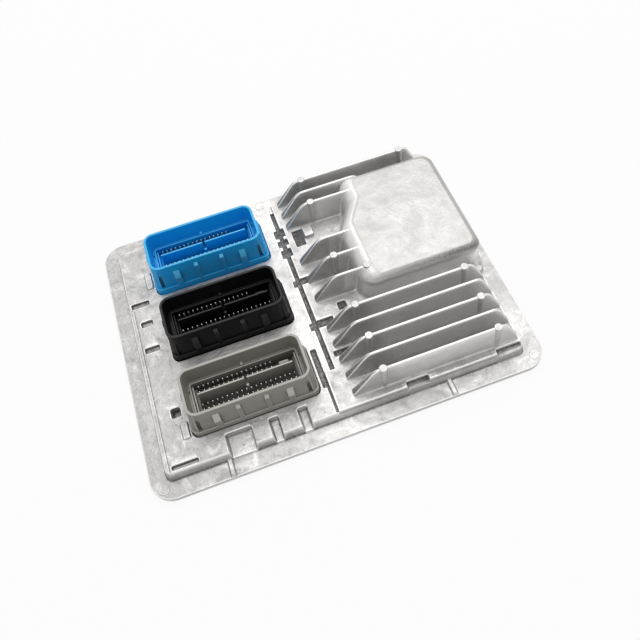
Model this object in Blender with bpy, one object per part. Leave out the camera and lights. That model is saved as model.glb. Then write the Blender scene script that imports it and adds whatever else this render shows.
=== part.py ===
"""An engine control unit.

A die-cast aluminium cover with cooling fins sits on a flat base plate. Under it lies one circuit board,
and three pin sockets on that board come up through windows in the cover. The part rests on its base plate:
X runs along the sockets and fins, Y across them and Z up, with the origin under the middle of the plate.
Sizes are in millimetres, and the shapes are scaled to metres as they are built.
"""
import bpy
import bmesh
from math import atan2, cos, pi, radians, sin, sqrt, tan
from mathutils import Vector

MM = 0.001

# Play between pieces that touch, and how deep forms of one piece sink into each other
PLAY = 0.3
SINK = 0.8

# Levels, from the ground up
PLATE_THICKNESS = 1.5
FLANGE_THICKNESS = 1.4
PLATFORM_RISE = 5.8
FIN_FLOOR_RISE = 1.0
FIN_HEIGHT = 16.0
DOME_ABOVE_FINS = 1.0
SOCKET_RISE = 19.3

# Flange round the raised platform
FLANGE_LEFT = 9.5
FLANGE_RIGHT = 11.0
FLANGE_FRONT = 10.4
FLANGE_BACK = 11.4
FLANGE_CORNER = 12.0
FLANGE_RIB_WIDTH = 1.5
FLANGE_RIB_HEIGHT = 1.0
FLANGE_RIBS = (30.5, 147.5)
DISC_DIAMETER = 5.0
DISC_RISE = 0.3
DISC_INSET = 6.2
PLATFORM_CORNER = 3.5
PLATFORM_FLARE = 1.5

# From left to right across the platform
SOCKET_LEFT_MARGIN = 17.6
SOCKET_TO_CHANNEL = 8.4
CHANNEL_WIDTH = 2.3
CHANNEL_TO_FINS = 3.9
FIN_END_MARGIN = 1.0

# From front to back across the platform
SOCKET_FRONT_MARGIN = 13.7
SOCKET_BACK_MARGIN = 7.8
SOCKET_FLARE = 1.7

# Cooling fins
FIN_TOP_THICKNESS = 1.7
FIN_DRAFT = 1.1
FIN_ROUNDING = 0.45
FIN_NOSE_SLOPE = 12.0
FIN_NOSE_HEIGHT = 1.2
FIN_TAIL_SLOPE = 7.5
FRONT_FIN_MARGIN = 6.9
FRONT_FIN_PITCH = 9.9
FRONT_FIN_COUNT = 5
MIDDLE_FIN_MARGIN = 12.8
MIDDLE_FIN_PITCH = 13.2
MIDDLE_FIN_COUNT = 3
WIDE_FIN_GAP = 27.3
BACK_FIN_MARGIN = 2.5
BACK_FIN_PITCH = 9.0
BACK_FIN_COUNT = 3

# Round pads on the fins, where pins push the casting out of its mould
PAD_DIAMETER = 4.4
PAD_RISE = 0.3
PAD_FROM_NOSE = 16.7
PAD_FROM_TAIL = 12.2
EDGE_PAD_DIAMETER = 4.6
EDGE_PAD_RISE = 2.0
DOME_PAD_MARGIN = 7.3

# Dome over the tall parts of the board
DOME_FRONT_GAP = 7.7
DOME_BACK_GAP = 7.6
DOME_LEFT_GAP = 23.7
DOME_RIGHT_GAP = 7.5
DOME_STEP = 10.0
STEP_FROM_MIDDLE_FIN = 3.2
STEP_TO_BACK_FIN = 7.5
DOME_DRAFT = 1.6
DOME_EDGE = 4.0
DOME_LEFT_EDGE = 9.0
DOME_FOOT = 2.0
DOME_FRONT_CORNER = 9.0
DOME_BACK_CORNER = 12.0
DOME_FIN_CORNER = 6.0
DOME_STEP_CORNER = 11.0

# Hollow side of the casting
WALL = 2.5
HOLLOW_LEFT_MARGIN = 15.5
HOLLOW_FRONT_MARGIN = 11.9
HOLLOW_RIGHT_MARGIN = 9.0
HOLLOW_BACK_MARGIN = 7.0
HOLLOW_CORNER = 3.0

# Recesses in the outer side. A place is (from the left, from the front, length, width).
SHALLOW = 1.7
DEEP = 4.9
RECESS_CORNER = 0.7
RECESS_DRAFT = 0.3
EDGE_SLOTS = ((3.5, 69.4, 8.0, 3.4), (4.5, 86.2, 6.5, 3.5), (1.5, 99.8, 10.0, 3.4), (3.5, 1.4, 13.5, 2.2))
EDGE_POCKET = (9.2, 27.8, 4.8, 5.4)
EDGE_MESAS = ((12.5, 14.6, 3.4, 9.0), (12.5, 109.6, 3.4, 11.0))
MESA_RISE = 0.9
BAY_WIDTH = 10.1
BAYS = ((32.0, 13.5), (54.5, 5.0), (69.5, 5.0))
FIN_BAY_WIDTH = 3.2
FIN_BAYS = ((27.0, 12.0), (76.5, 14.0))
CHANNEL_FRONT_MARGIN = 23.6
CHANNEL_BACK_MARGIN = 5.6
CROSSING_REACH = 1.9
CROSSINGS = ((100.6, 6.0), (109.0, 4.6), (115.6, 6.2))
BRANCHES = ((79.2, 4.4, 5.6), (49.3, 4.8, 9.4))
FIELD_STEP = 3.3
FIELD_INSET = 0.3
FIELD_CORNER = 1.0
SIDE_POCKET = (1.9, 15.6, 3.0, 23.2)
FIN_POCKETS = ((1.7, 105.1, 5.8, 12.0), (10.2, 55.9, 4.8, 5.0), (-1.5, 29.8, 9.7, 3.4))
FIN_MESA = (8.1, 109.2, 5.4, 7.6)

# Sockets
SOCKET_CORNER = 5.5
SOCKET_BASE_CORNER = 3.5
SOCKET_WALL = 1.4
SOCKET_DRAFT = 0.5
SOCKET_DEPTH = 10.3
SOCKET_END_LEDGE = 2.05
SOCKET_SIDE_LEDGE = 2.5
LIP_HEIGHT = 3.5
LIP_REACH = 1.0
LIP_CHAMFER = 0.4
WELL_END_MARGIN = 3.65
WELL_SIDE_MARGIN = 2.2
WELL_OFFSET = 0.4
WELL_CORNER = 1.0
WINDOW_PLAY = 0.5
LATCH_SPACING = 37.4
LATCH_WIDTH = 3.4
LATCH_REACH = 1.7
LATCH_DROP = 4.6
LATCH_RAMP = 4.6
GUIDE_SPACING = 14.4
GUIDE_WIDTH = 2.3
GUIDE_REACH = 0.9
GUIDE_DROP = 2.9
GUIDE_RAMP = 0.8
SLOT_WIDTH = 1.2
SLOT_DEPTH = 0.8
SLOT_FROM_END = 3.4
SLOT_DROP = 1.6
NUB_WIDTH = 4.0
NUB_HEIGHT = 3.0
NUB_REACH = 1.5
NUB_OFFSET = 2.5
NUB_DROP = 9.8
INNER_NUB_SIZE = 1.3
CORE_HOLE_SIZE = 1.6
CORE_HOLE_OFFSET = 5.2
CORE_HOLE_FROM_WELL = 1.0

# Pins, and the block that is moulded round them
PIN_SIZE = 0.64
PIN_PITCH = 2.5
PIN_TIP = 0.45
PIN_LENGTH = 7.0
PIN_ROOT = 0.5
FRONT_PIN_COUNT = 20
BACK_PIN_COUNT = 16
PIN_ROW_SPACING = 2.9
PIN_GROUP_SPACING = 7.2
DIVIDER_THICKNESS = 1.0
DIVIDER_HEIGHT = 12.0
DIVIDER_OVERHANG = 0.75
DIVIDER_GAP = 1.2
CHEEK_THICKNESS = 1.9
CHEEK_HEIGHT = 3.0
KEY_HEIGHT = 9.0
KEY_FROM_DIVIDER = 1.4
CODING_RIB_LENGTH = 5.0
CODING_RIB_THICKNESS = 1.6
CODING_RIB_HEIGHT = 6.0
CODING_RIB_FROM_PINS = 4.05
CODING_RIB_Y = 4.6

# Circuit board and what is soldered on it
BOARD_THICKNESS = 1.6
BOARD_GAP = 2.0
BOARD_PLAY = 0.4
BOARD_CORNER = 2.0
CHIP_HEIGHT = 1.0
CHIP_CHAMFER = 0.2
PROCESSOR_SIZE = 23.0
POWER_CHIP_SIZE = 12.0
MEMORY_LENGTH = 18.0
MEMORY_WIDTH = 10.0
DRIVER_LENGTH = 15.0
DRIVER_WIDTH = 10.0
DRIVER_PITCH = 19.0
DRIVER_COUNT = 4
CRYSTAL_LENGTH = 7.0
CRYSTAL_WIDTH = 5.0
PART_SPACING = 3.0
CAPACITOR_DIAMETER = 12.5
ROOM_OVER_CAPACITORS = 3.1
CAPACITOR_PITCH = 15.0
CAPACITOR_COUNT = 3
CAPACITOR_GROOVE = 0.4
CAPACITOR_GROOVE_HEIGHT = 2.0
CHOKE_DIAMETER = 17.0
CHOKE_GROOVE_DEPTH = 3.5
CHOKE_HEIGHT = 9.0
CHOKE_FLANGE = 1.8
CAPACITORS_TO_CHOKE = 2.5
CHOKE_TO_WALL = 2.0

# Screws
SCREW_DIAMETER = 2.9
SCREW_HEAD_DIAMETER = 5.4
SCREW_HEAD_HEIGHT = 1.2
SCREW_SOCKET_DIAMETER = 2.4
SCREW_SOCKET_DEPTH = 0.7
BOARD_SCREW_LENGTH = 3.0
BOARD_BOSS_DIAMETER = 6.4
BOARD_SCREW_INSET = 4.4
PLATE_SCREW_LENGTH = 5.0
PLATE_SCREW_DEPTH = 0.1
SCREW_POINT = 0.5

# Sealing
SEAL_WIDTH = 1.8
SEAL_HEIGHT = 0.5
SEAL_FROM_EDGE = 0.8
SEAL_CORNER = 4.0
GASKET_WIDTH = 0.7
GASKET_HEIGHT = 1.2
PAD_THICKNESS = 0.5

# Smoothness of round forms
CORNER_STEPS = 3
DOME_CORNER_STEPS = 4
WIDE_CORNER_STEPS = 8
SMALL_CORNER_STEPS = 1
SHOULDER_STEPS = 5
ROUND_STEPS = 10
PAD_STEPS = 8
SCREW_STEPS = 8

# What follows from the sizes above: lengths, then places from left to right, front to back and upwards
PIN_FIELD_LENGTH = (FRONT_PIN_COUNT - 1) * PIN_PITCH
PIN_FIELD_WIDTH = PIN_GROUP_SPACING + 2 * PIN_ROW_SPACING
WELL_LENGTH = PIN_FIELD_LENGTH + 2 * WELL_END_MARGIN
WELL_WIDTH = PIN_FIELD_WIDTH + 2 * WELL_SIDE_MARGIN
SOCKET_LENGTH = WELL_LENGTH + 2 * (SOCKET_END_LEDGE + SOCKET_DRAFT + SOCKET_WALL)
SOCKET_WIDTH = WELL_WIDTH + 2 * (SOCKET_SIDE_LEDGE + SOCKET_DRAFT + SOCKET_WALL)
SOCKET_BASE_LENGTH = SOCKET_LENGTH + 2 * SOCKET_FLARE
SOCKET_BASE_WIDTH = SOCKET_WIDTH + 2 * SOCKET_FLARE
DOME_ROOM_LENGTH = (DOME_LEFT_EDGE + PART_SPACING + CAPACITOR_DIAMETER + CAPACITORS_TO_CHOKE
                    + CHOKE_DIAMETER + CHOKE_TO_WALL)
FIN_LENGTH = DOME_LEFT_GAP + DOME_STEP + WALL + DOME_ROOM_LENGTH + HOLLOW_RIGHT_MARGIN - FIN_END_MARGIN
PLATFORM_LENGTH = (SOCKET_LEFT_MARGIN + SOCKET_BASE_LENGTH + SOCKET_TO_CHANNEL + CHANNEL_WIDTH
                   + CHANNEL_TO_FINS + FIN_LENGTH + FIN_END_MARGIN)
PLATFORM_WIDTH = (FRONT_FIN_MARGIN + (FRONT_FIN_COUNT - 1) * FRONT_FIN_PITCH + DOME_FRONT_GAP
                  + MIDDLE_FIN_MARGIN + (MIDDLE_FIN_COUNT - 1) * MIDDLE_FIN_PITCH + WIDE_FIN_GAP
                  + (BACK_FIN_COUNT - 1) * BACK_FIN_PITCH + BACK_FIN_MARGIN)
SOCKET_PITCH = (PLATFORM_WIDTH - SOCKET_FRONT_MARGIN - SOCKET_BASE_WIDTH - SOCKET_BACK_MARGIN) / 2
FLANGE_LENGTH = FLANGE_LEFT + PLATFORM_LENGTH + FLANGE_RIGHT
FLANGE_WIDTH = FLANGE_FRONT + PLATFORM_WIDTH + FLANGE_BACK

LEFT = -FLANGE_LENGTH / 2
RIGHT = FLANGE_LENGTH / 2
PLATFORM_LEFT = LEFT + FLANGE_LEFT
PLATFORM_RIGHT = RIGHT - FLANGE_RIGHT
SOCKET_X = PLATFORM_LEFT + SOCKET_LEFT_MARGIN + SOCKET_BASE_LENGTH / 2
SOCKET_RIGHT = SOCKET_X + SOCKET_BASE_LENGTH / 2
CHANNEL_LEFT = SOCKET_RIGHT + SOCKET_TO_CHANNEL
CHANNEL_RIGHT = CHANNEL_LEFT + CHANNEL_WIDTH
FIN_NOSE = CHANNEL_RIGHT + CHANNEL_TO_FINS
FIN_TAIL = FIN_NOSE + FIN_LENGTH
DOME_LEFT = FIN_NOSE + DOME_LEFT_GAP
DOME_RIGHT = RIGHT - DOME_RIGHT_GAP
HOLLOW_LEFT = PLATFORM_LEFT + HOLLOW_LEFT_MARGIN
HOLLOW_RIGHT = PLATFORM_RIGHT - HOLLOW_RIGHT_MARGIN

FRONT = -FLANGE_WIDTH / 2
BACK = FLANGE_WIDTH / 2
PLATFORM_FRONT = FRONT + FLANGE_FRONT
PLATFORM_BACK = BACK - FLANGE_BACK
FIRST_SOCKET_Y = PLATFORM_FRONT + SOCKET_FRONT_MARGIN + SOCKET_BASE_WIDTH / 2
FRONT_FINS = [PLATFORM_FRONT + FRONT_FIN_MARGIN + i * FRONT_FIN_PITCH for i in range(FRONT_FIN_COUNT)]
BACK_FINS = [PLATFORM_BACK - BACK_FIN_MARGIN - i * BACK_FIN_PITCH for i in range(BACK_FIN_COUNT)]
DOME_FRONT = FRONT_FINS[-1] + DOME_FRONT_GAP
DOME_BACK = BACK_FINS[0] - DOME_BACK_GAP
MIDDLE_FINS = [DOME_FRONT + MIDDLE_FIN_MARGIN + i * MIDDLE_FIN_PITCH for i in range(MIDDLE_FIN_COUNT)]
HOLLOW_FRONT = PLATFORM_FRONT + HOLLOW_FRONT_MARGIN
HOLLOW_BACK = PLATFORM_BACK - HOLLOW_BACK_MARGIN
SOCKETS = {"grey": FIRST_SOCKET_Y,
           "black": FIRST_SOCKET_Y + SOCKET_PITCH,
           "blue": FIRST_SOCKET_Y + 2 * SOCKET_PITCH}

FLANGE_BOTTOM = PLATE_THICKNESS + PLAY
FLANGE_TOP = FLANGE_BOTTOM + FLANGE_THICKNESS
PLATFORM_TOP = FLANGE_TOP + PLATFORM_RISE
FIN_FLOOR = PLATFORM_TOP + FIN_FLOOR_RISE
FIN_TOP = FIN_FLOOR + FIN_HEIGHT
DOME_TOP = FIN_TOP + DOME_ABOVE_FINS
SOCKET_TOP = PLATFORM_TOP + SOCKET_RISE
SOCKET_FLOOR = SOCKET_TOP - SOCKET_DEPTH
LIP_TOP = PLATFORM_TOP + LIP_HEIGHT
PIN_FLOOR = SOCKET_FLOOR - PIN_LENGTH
SOCKET_CEILING = PLATFORM_TOP - WALL
FIN_CEILING = FIN_FLOOR - WALL
BOARD_BOTTOM = PLATE_THICKNESS + BOARD_GAP
BOARD_TOP = BOARD_BOTTOM + BOARD_THICKNESS
ON_BOARD = BOARD_TOP + PLAY
HOLE_DIAMETER = SCREW_DIAMETER + 2 * PLAY
GASKET_ROOM = GASKET_WIDTH + 2 * PLAY
GASKET_CEILING = SOCKET_CEILING + GASKET_HEIGHT + PLAY


def finish(name, shape):
    """An object from a finished mesh, smooth on its round stretches."""
    mesh = bpy.data.meshes.new(name)
    shape.to_mesh(mesh)
    shape.free()
    mesh.shade_smooth()
    mesh.set_sharp_from_angle(angle=radians(35))
    thing = bpy.data.objects.new(name, mesh)
    bpy.context.scene.collection.objects.link(thing)
    return thing


def skin(rings, closed):
    """A mesh through rings of equal length. Its ends are capped, or the last ring joins the first."""
    shape = bmesh.new()
    loops = [[shape.verts.new(Vector(point) * MM) for point in ring] for ring in rings]
    if closed:
        loops.append(loops[0])
    else:
        shape.faces.new(list(reversed(loops[0])))
        shape.faces.new(loops[-1])
    for low, high in zip(loops, loops[1:]):
        for i in range(len(low)):
            j = (i + 1) % len(low)
            shape.faces.new((low[i], low[j], high[j], high[i]))
    return shape


def solid(name, rings):
    return finish(name, skin(rings, closed=False))


def tube(name, rings):
    """A solid with a hole through it: its rings run up the outside and down the inside."""
    return finish(name, skin(rings, closed=True))


def joined(name, things):
    """One object from several that don't touch."""
    shape = bmesh.new()
    for thing in things:
        shape.from_mesh(thing.data)
        bpy.data.objects.remove(thing)
    return finish(name, shape)


def rounded(corners, radii, steps):
    """A counterclockwise outline through the corners, each one rounded."""
    points = []
    for i, corner in enumerate(corners):
        here = Vector(corner)
        back = (Vector(corners[i - 1]) - here).normalized()
        ahead = (Vector(corners[(i + 1) % len(corners)]) - here).normalized()
        half = back.angle(ahead) / 2
        centre = here + (back + ahead).normalized() * radii[i] / sin(half)
        start = here + back * radii[i] / tan(half) - centre
        end = here + ahead * radii[i] / tan(half) - centre
        first = atan2(start.y, start.x)
        turn = (atan2(end.y, end.x) - first + pi) % (2 * pi) - pi
        for step in range(steps + 1):
            angle = first + turn * step / steps
            points.append((centre.x + radii[i] * cos(angle), centre.y + radii[i] * sin(angle)))
    return points


def rectangle(left, right, front, back, radius, steps=CORNER_STEPS):
    corners = [(left, front), (right, front), (right, back), (left, back)]
    return rounded(corners, [radius] * 4, steps)


def centred(x, y, length, width, radius, steps=CORNER_STEPS):
    return rectangle(x - length / 2, x + length / 2, y - width / 2, y + width / 2, radius, steps)


def circle(x, y, diameter, steps=ROUND_STEPS):
    turns = [2 * pi * i / steps for i in range(steps)]
    return [(x + diameter / 2 * cos(turn), y + diameter / 2 * sin(turn)) for turn in turns]


def raised(outline, height):
    return [(x, y, height) for x, y in outline]


def prism(name, outline, bottom, top):
    return solid(name, [raised(outline, bottom), raised(outline, top)])


def block(name, left, right, front, back, bottom, top):
    return prism(name, [(left, front), (right, front), (right, back), (left, back)], bottom, top)


def turned(name, x, y, profile, steps=ROUND_STEPS):
    """A solid of revolution about an upright axis, from (diameter, height) pairs."""
    return solid(name, [raised(circle(x, y, diameter, steps), height) for diameter, height in profile])


def along_x(name, profile, left, right):
    """A bar along X of a counterclockwise (y, z) profile, seen from its right end."""
    return solid(name, [[(x, y, z) for y, z in profile] for x in (left, right)])


def material(name, colour, roughness, metallic=0.0):
    result = bpy.data.materials.new(name)
    result.use_nodes = True
    shader = result.node_tree.nodes["Principled BSDF"]
    shader.inputs["Base Color"].default_value = (*colour, 1.0)
    shader.inputs["Roughness"].default_value = roughness
    shader.inputs["Metallic"].default_value = metallic
    result.diffuse_color = (*colour, 1.0)
    return result


def paint(thing, finish_material):
    thing.data.materials.clear()
    thing.data.materials.append(finish_material)


def combine(body, tool, operation):
    modifier = body.modifiers.new(tool.name, "BOOLEAN")
    modifier.operation = operation
    modifier.object = tool
    modifier.solver = "EXACT"
    tool.hide_render = True
    tool.display_type = "WIRE"


def add(body, name, things):
    combine(body, joined(name, things), "UNION")


def cut(body, name, things):
    combine(body, joined(name, things), "DIFFERENCE")


def recess(left, right, front, back, floor, top):
    """A cutter with drafted walls and small corners, which ends above the surface that it cuts."""
    draft = RECESS_DRAFT
    low = rectangle(left + draft, right - draft, front + draft, back - draft, RECESS_CORNER,
                    SMALL_CORNER_STEPS)
    high = rectangle(left, right, front, back, RECESS_CORNER, SMALL_CORNER_STEPS)
    return solid("recess", [raised(low, floor), raised(high, top)])


def placed(x, y, place):
    """Left, right, front and back of a place that is measured from (x, y)."""
    return x + place[0], x + place[0] + place[2], y + place[1], y + place[1] + place[3]


def cover_block():
    """Flange, platform and the higher field under the fins."""
    flange = rectangle(LEFT, RIGHT, FRONT, BACK, FLANGE_CORNER, WIDE_CORNER_STEPS)
    cover = prism("heat_sink_cover", flange, FLANGE_BOTTOM, FLANGE_TOP)
    side = PLATFORM_FLARE / 2
    foot = rectangle(PLATFORM_LEFT - side, PLATFORM_RIGHT + side, PLATFORM_FRONT - PLATFORM_FLARE,
                     PLATFORM_BACK + side, PLATFORM_CORNER)
    top = rectangle(PLATFORM_LEFT, PLATFORM_RIGHT, PLATFORM_FRONT, PLATFORM_BACK, PLATFORM_CORNER)
    levels = [raised(foot, FLANGE_TOP - SINK / 2), raised(foot, FLANGE_TOP), raised(top, PLATFORM_TOP)]
    combine(cover, solid("platform", levels), "UNION")
    right = PLATFORM_RIGHT - FIELD_INSET
    front = PLATFORM_FRONT + FIELD_INSET
    back = PLATFORM_BACK - FIELD_INSET
    left = CHANNEL_LEFT - FIELD_STEP
    turn = PLATFORM_FRONT + CHANNEL_FRONT_MARGIN
    corners = [(left, front), (right, front), (right, back),
               (CHANNEL_RIGHT, back), (CHANNEL_RIGHT, turn), (left, turn)]
    radii = [FIELD_CORNER, PLATFORM_CORNER, PLATFORM_CORNER, FIELD_CORNER, FIELD_CORNER, FIELD_CORNER]
    field = rounded(corners, radii, CORNER_STEPS)
    combine(cover, prism("fin_field", field, PLATFORM_TOP - SINK, FIN_FLOOR), "UNION")
    return cover


def add_small_raised_forms(cover):
    """Ribs across the front flange, low mesas beside the sockets, and round pads on the flange."""
    forms = []
    for offset in FLANGE_RIBS:
        x = PLATFORM_LEFT + offset
        forms.append(block("rib", x - FLANGE_RIB_WIDTH / 2, x + FLANGE_RIB_WIDTH / 2, FRONT + FIELD_INSET,
                           PLATFORM_FRONT, FLANGE_TOP - SINK / 2, FLANGE_TOP + FLANGE_RIB_HEIGHT))
    for place in EDGE_MESAS:
        outline = rectangle(*placed(PLATFORM_LEFT, PLATFORM_FRONT, place), RECESS_CORNER, SMALL_CORNER_STEPS)
        forms.append(prism("mesa", outline, PLATFORM_TOP - SINK, PLATFORM_TOP + MESA_RISE))
    outline = rectangle(*placed(FIN_NOSE, PLATFORM_FRONT, FIN_MESA), RECESS_CORNER, SMALL_CORNER_STEPS)
    forms.append(prism("mesa", outline, FIN_FLOOR - SINK, FIN_FLOOR + MESA_RISE))
    for x in (LEFT + DISC_INSET, RIGHT - DISC_INSET):
        for y in (FRONT + DISC_INSET, BACK - DISC_INSET):
            forms.append(prism("disc", circle(x, y, DISC_DIAMETER, PAD_STEPS), FLANGE_TOP - SINK / 2,
                               FLANGE_TOP + DISC_RISE))
    add(cover, "small_raised_forms", forms)


def cut_recesses(cover):
    """Slots, pockets and the open bays along the front edge."""
    tools = []
    top = PLATFORM_TOP + SINK
    for place in EDGE_SLOTS:
        tools.append(recess(*placed(PLATFORM_LEFT, PLATFORM_FRONT, place), PLATFORM_TOP - SHALLOW, top))
    tools.append(recess(*placed(PLATFORM_LEFT, PLATFORM_FRONT, EDGE_POCKET), PLATFORM_TOP - DEEP, top))
    tools.append(recess(*placed(SOCKET_RIGHT, PLATFORM_FRONT, SIDE_POCKET), PLATFORM_TOP - SHALLOW, top))
    front = PLATFORM_FRONT - PLATFORM_FLARE - SINK
    for offset, length in BAYS:
        left = PLATFORM_LEFT + offset
        tools.append(recess(left, left + length, front, PLATFORM_FRONT + BAY_WIDTH, PLATFORM_TOP - DEEP, top))
    for offset, length in FIN_BAYS:
        left = FIN_NOSE + offset
        tools.append(recess(left, left + length, front, PLATFORM_FRONT + FIN_BAY_WIDTH,
                            PLATFORM_TOP - SHALLOW, FIN_FLOOR + SINK))
    for place in FIN_POCKETS:
        tools.append(recess(*placed(FIN_NOSE, PLATFORM_FRONT, place), FIN_FLOOR - SHALLOW, FIN_FLOOR + SINK))
    cut(cover, "recesses", tools)


def cut_channel(cover):
    """The long groove between the sockets and the fins, with its crossings and branches."""
    top = FIN_FLOOR + SINK
    floor = PLATFORM_TOP - SHALLOW
    start = PLATFORM_FRONT + CHANNEL_FRONT_MARGIN
    end = PLATFORM_BACK - CHANNEL_BACK_MARGIN
    cut(cover, "channel", [recess(CHANNEL_LEFT, CHANNEL_RIGHT, start, end, floor, top)])
    tools = []
    left = CHANNEL_LEFT - CROSSING_REACH
    for offset, width in CROSSINGS:
        front = PLATFORM_FRONT + offset
        right = CHANNEL_RIGHT + CROSSING_REACH
        tools.append(recess(left, right, front, front + width, floor + SINK / 2, top))
    for offset, width, reach in BRANCHES:
        front = PLATFORM_FRONT + offset
        right = CHANNEL_RIGHT + reach
        tools.append(recess(left, right, front, front + width, FIN_FLOOR - SHALLOW, top))
    cut(cover, "channel_crossings", tools)


def fin_half_thickness(height):
    """A fin's half thickness, which grows towards its foot as a casting's draft."""
    return FIN_TOP_THICKNESS / 2 + FIN_DRAFT * (FIN_TOP - height) / FIN_HEIGHT


def fin(y, tail, tail_slope):
    """One cooling fin with a sloping nose and rounded ridges."""
    rings = []
    for height, nose, end in ((FIN_FLOOR - SINK, FIN_NOSE, tail),
                              (FIN_FLOOR + FIN_NOSE_HEIGHT, FIN_NOSE, tail),
                              (FIN_TOP, FIN_NOSE + FIN_NOSE_SLOPE, tail - tail_slope)):
        half = fin_half_thickness(height)
        rings.append([(nose, y - half, height), (end, y - half, height),
                      (end, y + half, height), (nose, y + half, height)])
    shape = skin(rings, closed=False)
    floor = (FIN_FLOOR - SINK / 2) * MM
    ridges = [edge for edge in shape.edges if max(vert.co.z for vert in edge.verts) > floor
              and not is_level_and_low(edge)]
    bmesh.ops.bevel(shape, geom=ridges, offset=FIN_ROUNDING * MM, segments=2, profile=0.5, affect="EDGES")
    return finish("fin", shape)


def is_level_and_low(edge):
    """Whether an edge runs round the fin below its top."""
    low, high = sorted(vert.co.z for vert in edge.verts)
    return high - low < MM / 10 and high < (FIN_TOP - SINK) * MM


def add_fins(cover):
    """Front fins run the platform's length, and the others end in the dome, but for the last, behind it."""
    fins = [fin(y, FIN_TAIL, FIN_TAIL_SLOPE) for y in FRONT_FINS]
    fins.append(fin(BACK_FINS[0], FIN_TAIL, FIN_TAIL_SLOPE))
    tail = DOME_LEFT + DOME_LEFT_EDGE + DOME_EDGE + FIN_NOSE_SLOPE
    fins += [fin(y, tail, FIN_NOSE_SLOPE) for y in MIDDLE_FINS]
    fins += [fin(y, tail + DOME_STEP, FIN_NOSE_SLOPE) for y in BACK_FINS[1:]]
    add(cover, "fins", fins)


def add_ejector_pads(cover):
    """Round pads down the fins' sides, at both ends of every other fin."""
    near = FIN_NOSE + PAD_FROM_NOSE
    far = FIN_TAIL - PAD_FROM_TAIL
    places = [(x, y) for y in FRONT_FINS[::2] for x in (near, far)]
    places += [(near, BACK_FINS[0]), (far, BACK_FINS[0]), (near, BACK_FINS[2]), (near, MIDDLE_FINS[1])]
    low = FIN_FLOOR - SINK
    pads = [prism("pad", circle(x, y, PAD_DIAMETER, PAD_STEPS), low, FIN_TOP + PAD_RISE) for x, y in places]
    edge_x = PLATFORM_RIGHT - FIELD_INSET - EDGE_PAD_DIAMETER / 4
    edge_y = FRONT_FINS[-1] + FRONT_FIN_PITCH / 2
    edge_pad = circle(edge_x, edge_y, EDGE_PAD_DIAMETER, PAD_STEPS)
    pads.append(prism("pad", edge_pad, low, FIN_FLOOR + EDGE_PAD_RISE))
    dome_pad = circle(DOME_LEFT + DOME_PAD_MARGIN, MIDDLE_FINS[0], PAD_DIAMETER, PAD_STEPS)
    pads.append(prism("pad", dome_pad, low, DOME_TOP))
    add(cover, "ejector_pads", pads)


def dome_outline(side, left):
    """The dome's plan, drawn in by one distance on its left side and by another on the rest."""
    front = DOME_FRONT + side
    back = DOME_BACK - side
    right = DOME_RIGHT - side
    step_front = MIDDLE_FINS[-1] + STEP_FROM_MIDDLE_FIN
    step_back = BACK_FINS[-1] - STEP_TO_BACK_FIN
    corners = [(DOME_LEFT + left, front), (right, front), (right, back), (DOME_LEFT + DOME_STEP + left, back),
               (DOME_LEFT + DOME_STEP + left, step_back), (DOME_LEFT + left, step_front)]
    radii = [DOME_FRONT_CORNER, DOME_FRONT_CORNER, DOME_BACK_CORNER, DOME_FIN_CORNER,
             DOME_STEP_CORNER, DOME_STEP_CORNER]
    return rounded(corners, radii, DOME_CORNER_STEPS)


def add_dome(cover):
    """A drafted block with a rounded foot and rounded shoulders. Its right side stands on the flange."""
    levels = [(FLANGE_TOP - SINK / 2, -DOME_FOOT), (FIN_FLOOR, -DOME_FOOT),
              (FIN_FLOOR + DOME_FOOT / 3, -DOME_FOOT / 3), (FIN_FLOOR + DOME_FOOT, 0.0)]
    rings = [raised(dome_outline(reach, reach), height) for height, reach in levels]
    shoulder = DOME_TOP - DOME_LEFT_EDGE
    for step in range(SHOULDER_STEPS + 1):
        rise = sin(pi / 2 * step / SHOULDER_STEPS)
        height = shoulder + DOME_LEFT_EDGE * rise
        left = DOME_LEFT_EDGE * (1 - sqrt(1 - rise * rise))
        bend = min(DOME_EDGE, max(0.0, height - (DOME_TOP - DOME_EDGE)))
        side = DOME_EDGE - sqrt(DOME_EDGE * DOME_EDGE - bend * bend)
        draft = DOME_DRAFT * (height - FIN_FLOOR) / (DOME_TOP - FIN_FLOOR)
        rings.append(raised(dome_outline(side + draft, left + draft), height))
    combine(cover, solid("dome", rings), "UNION")


def cut_hollow(cover):
    """The room for the board, and the dome's inside."""
    outline = rectangle(HOLLOW_LEFT, HOLLOW_RIGHT, HOLLOW_FRONT, HOLLOW_BACK, HOLLOW_CORNER)
    room = prism("board_room", outline, FLANGE_BOTTOM - SINK, SOCKET_CEILING)
    combine(cover, room, "DIFFERENCE")
    outline = rectangle(CHANNEL_RIGHT + WALL, HOLLOW_RIGHT, HOLLOW_FRONT, HOLLOW_BACK, HOLLOW_CORNER)
    combine(cover, prism("room_under_fins", outline, SOCKET_CEILING - SINK, FIN_CEILING), "DIFFERENCE")
    left, right, front, back = dome_room()
    foot = rectangle(left, right, front, back, DOME_FIN_CORNER)
    draft = DOME_DRAFT
    top = rectangle(left + DOME_LEFT_EDGE, right - draft, front + draft, back - draft, DOME_FIN_CORNER)
    levels = [raised(foot, FIN_CEILING - SINK), raised(foot, FIN_CEILING), raised(top, DOME_TOP - WALL)]
    combine(cover, solid("dome_room", levels), "DIFFERENCE")


def dome_room():
    """Left, right, front and back of the foot of the room inside the dome."""
    return DOME_LEFT + DOME_STEP + WALL, HOLLOW_RIGHT, DOME_FRONT + WALL, DOME_BACK - WALL


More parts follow.
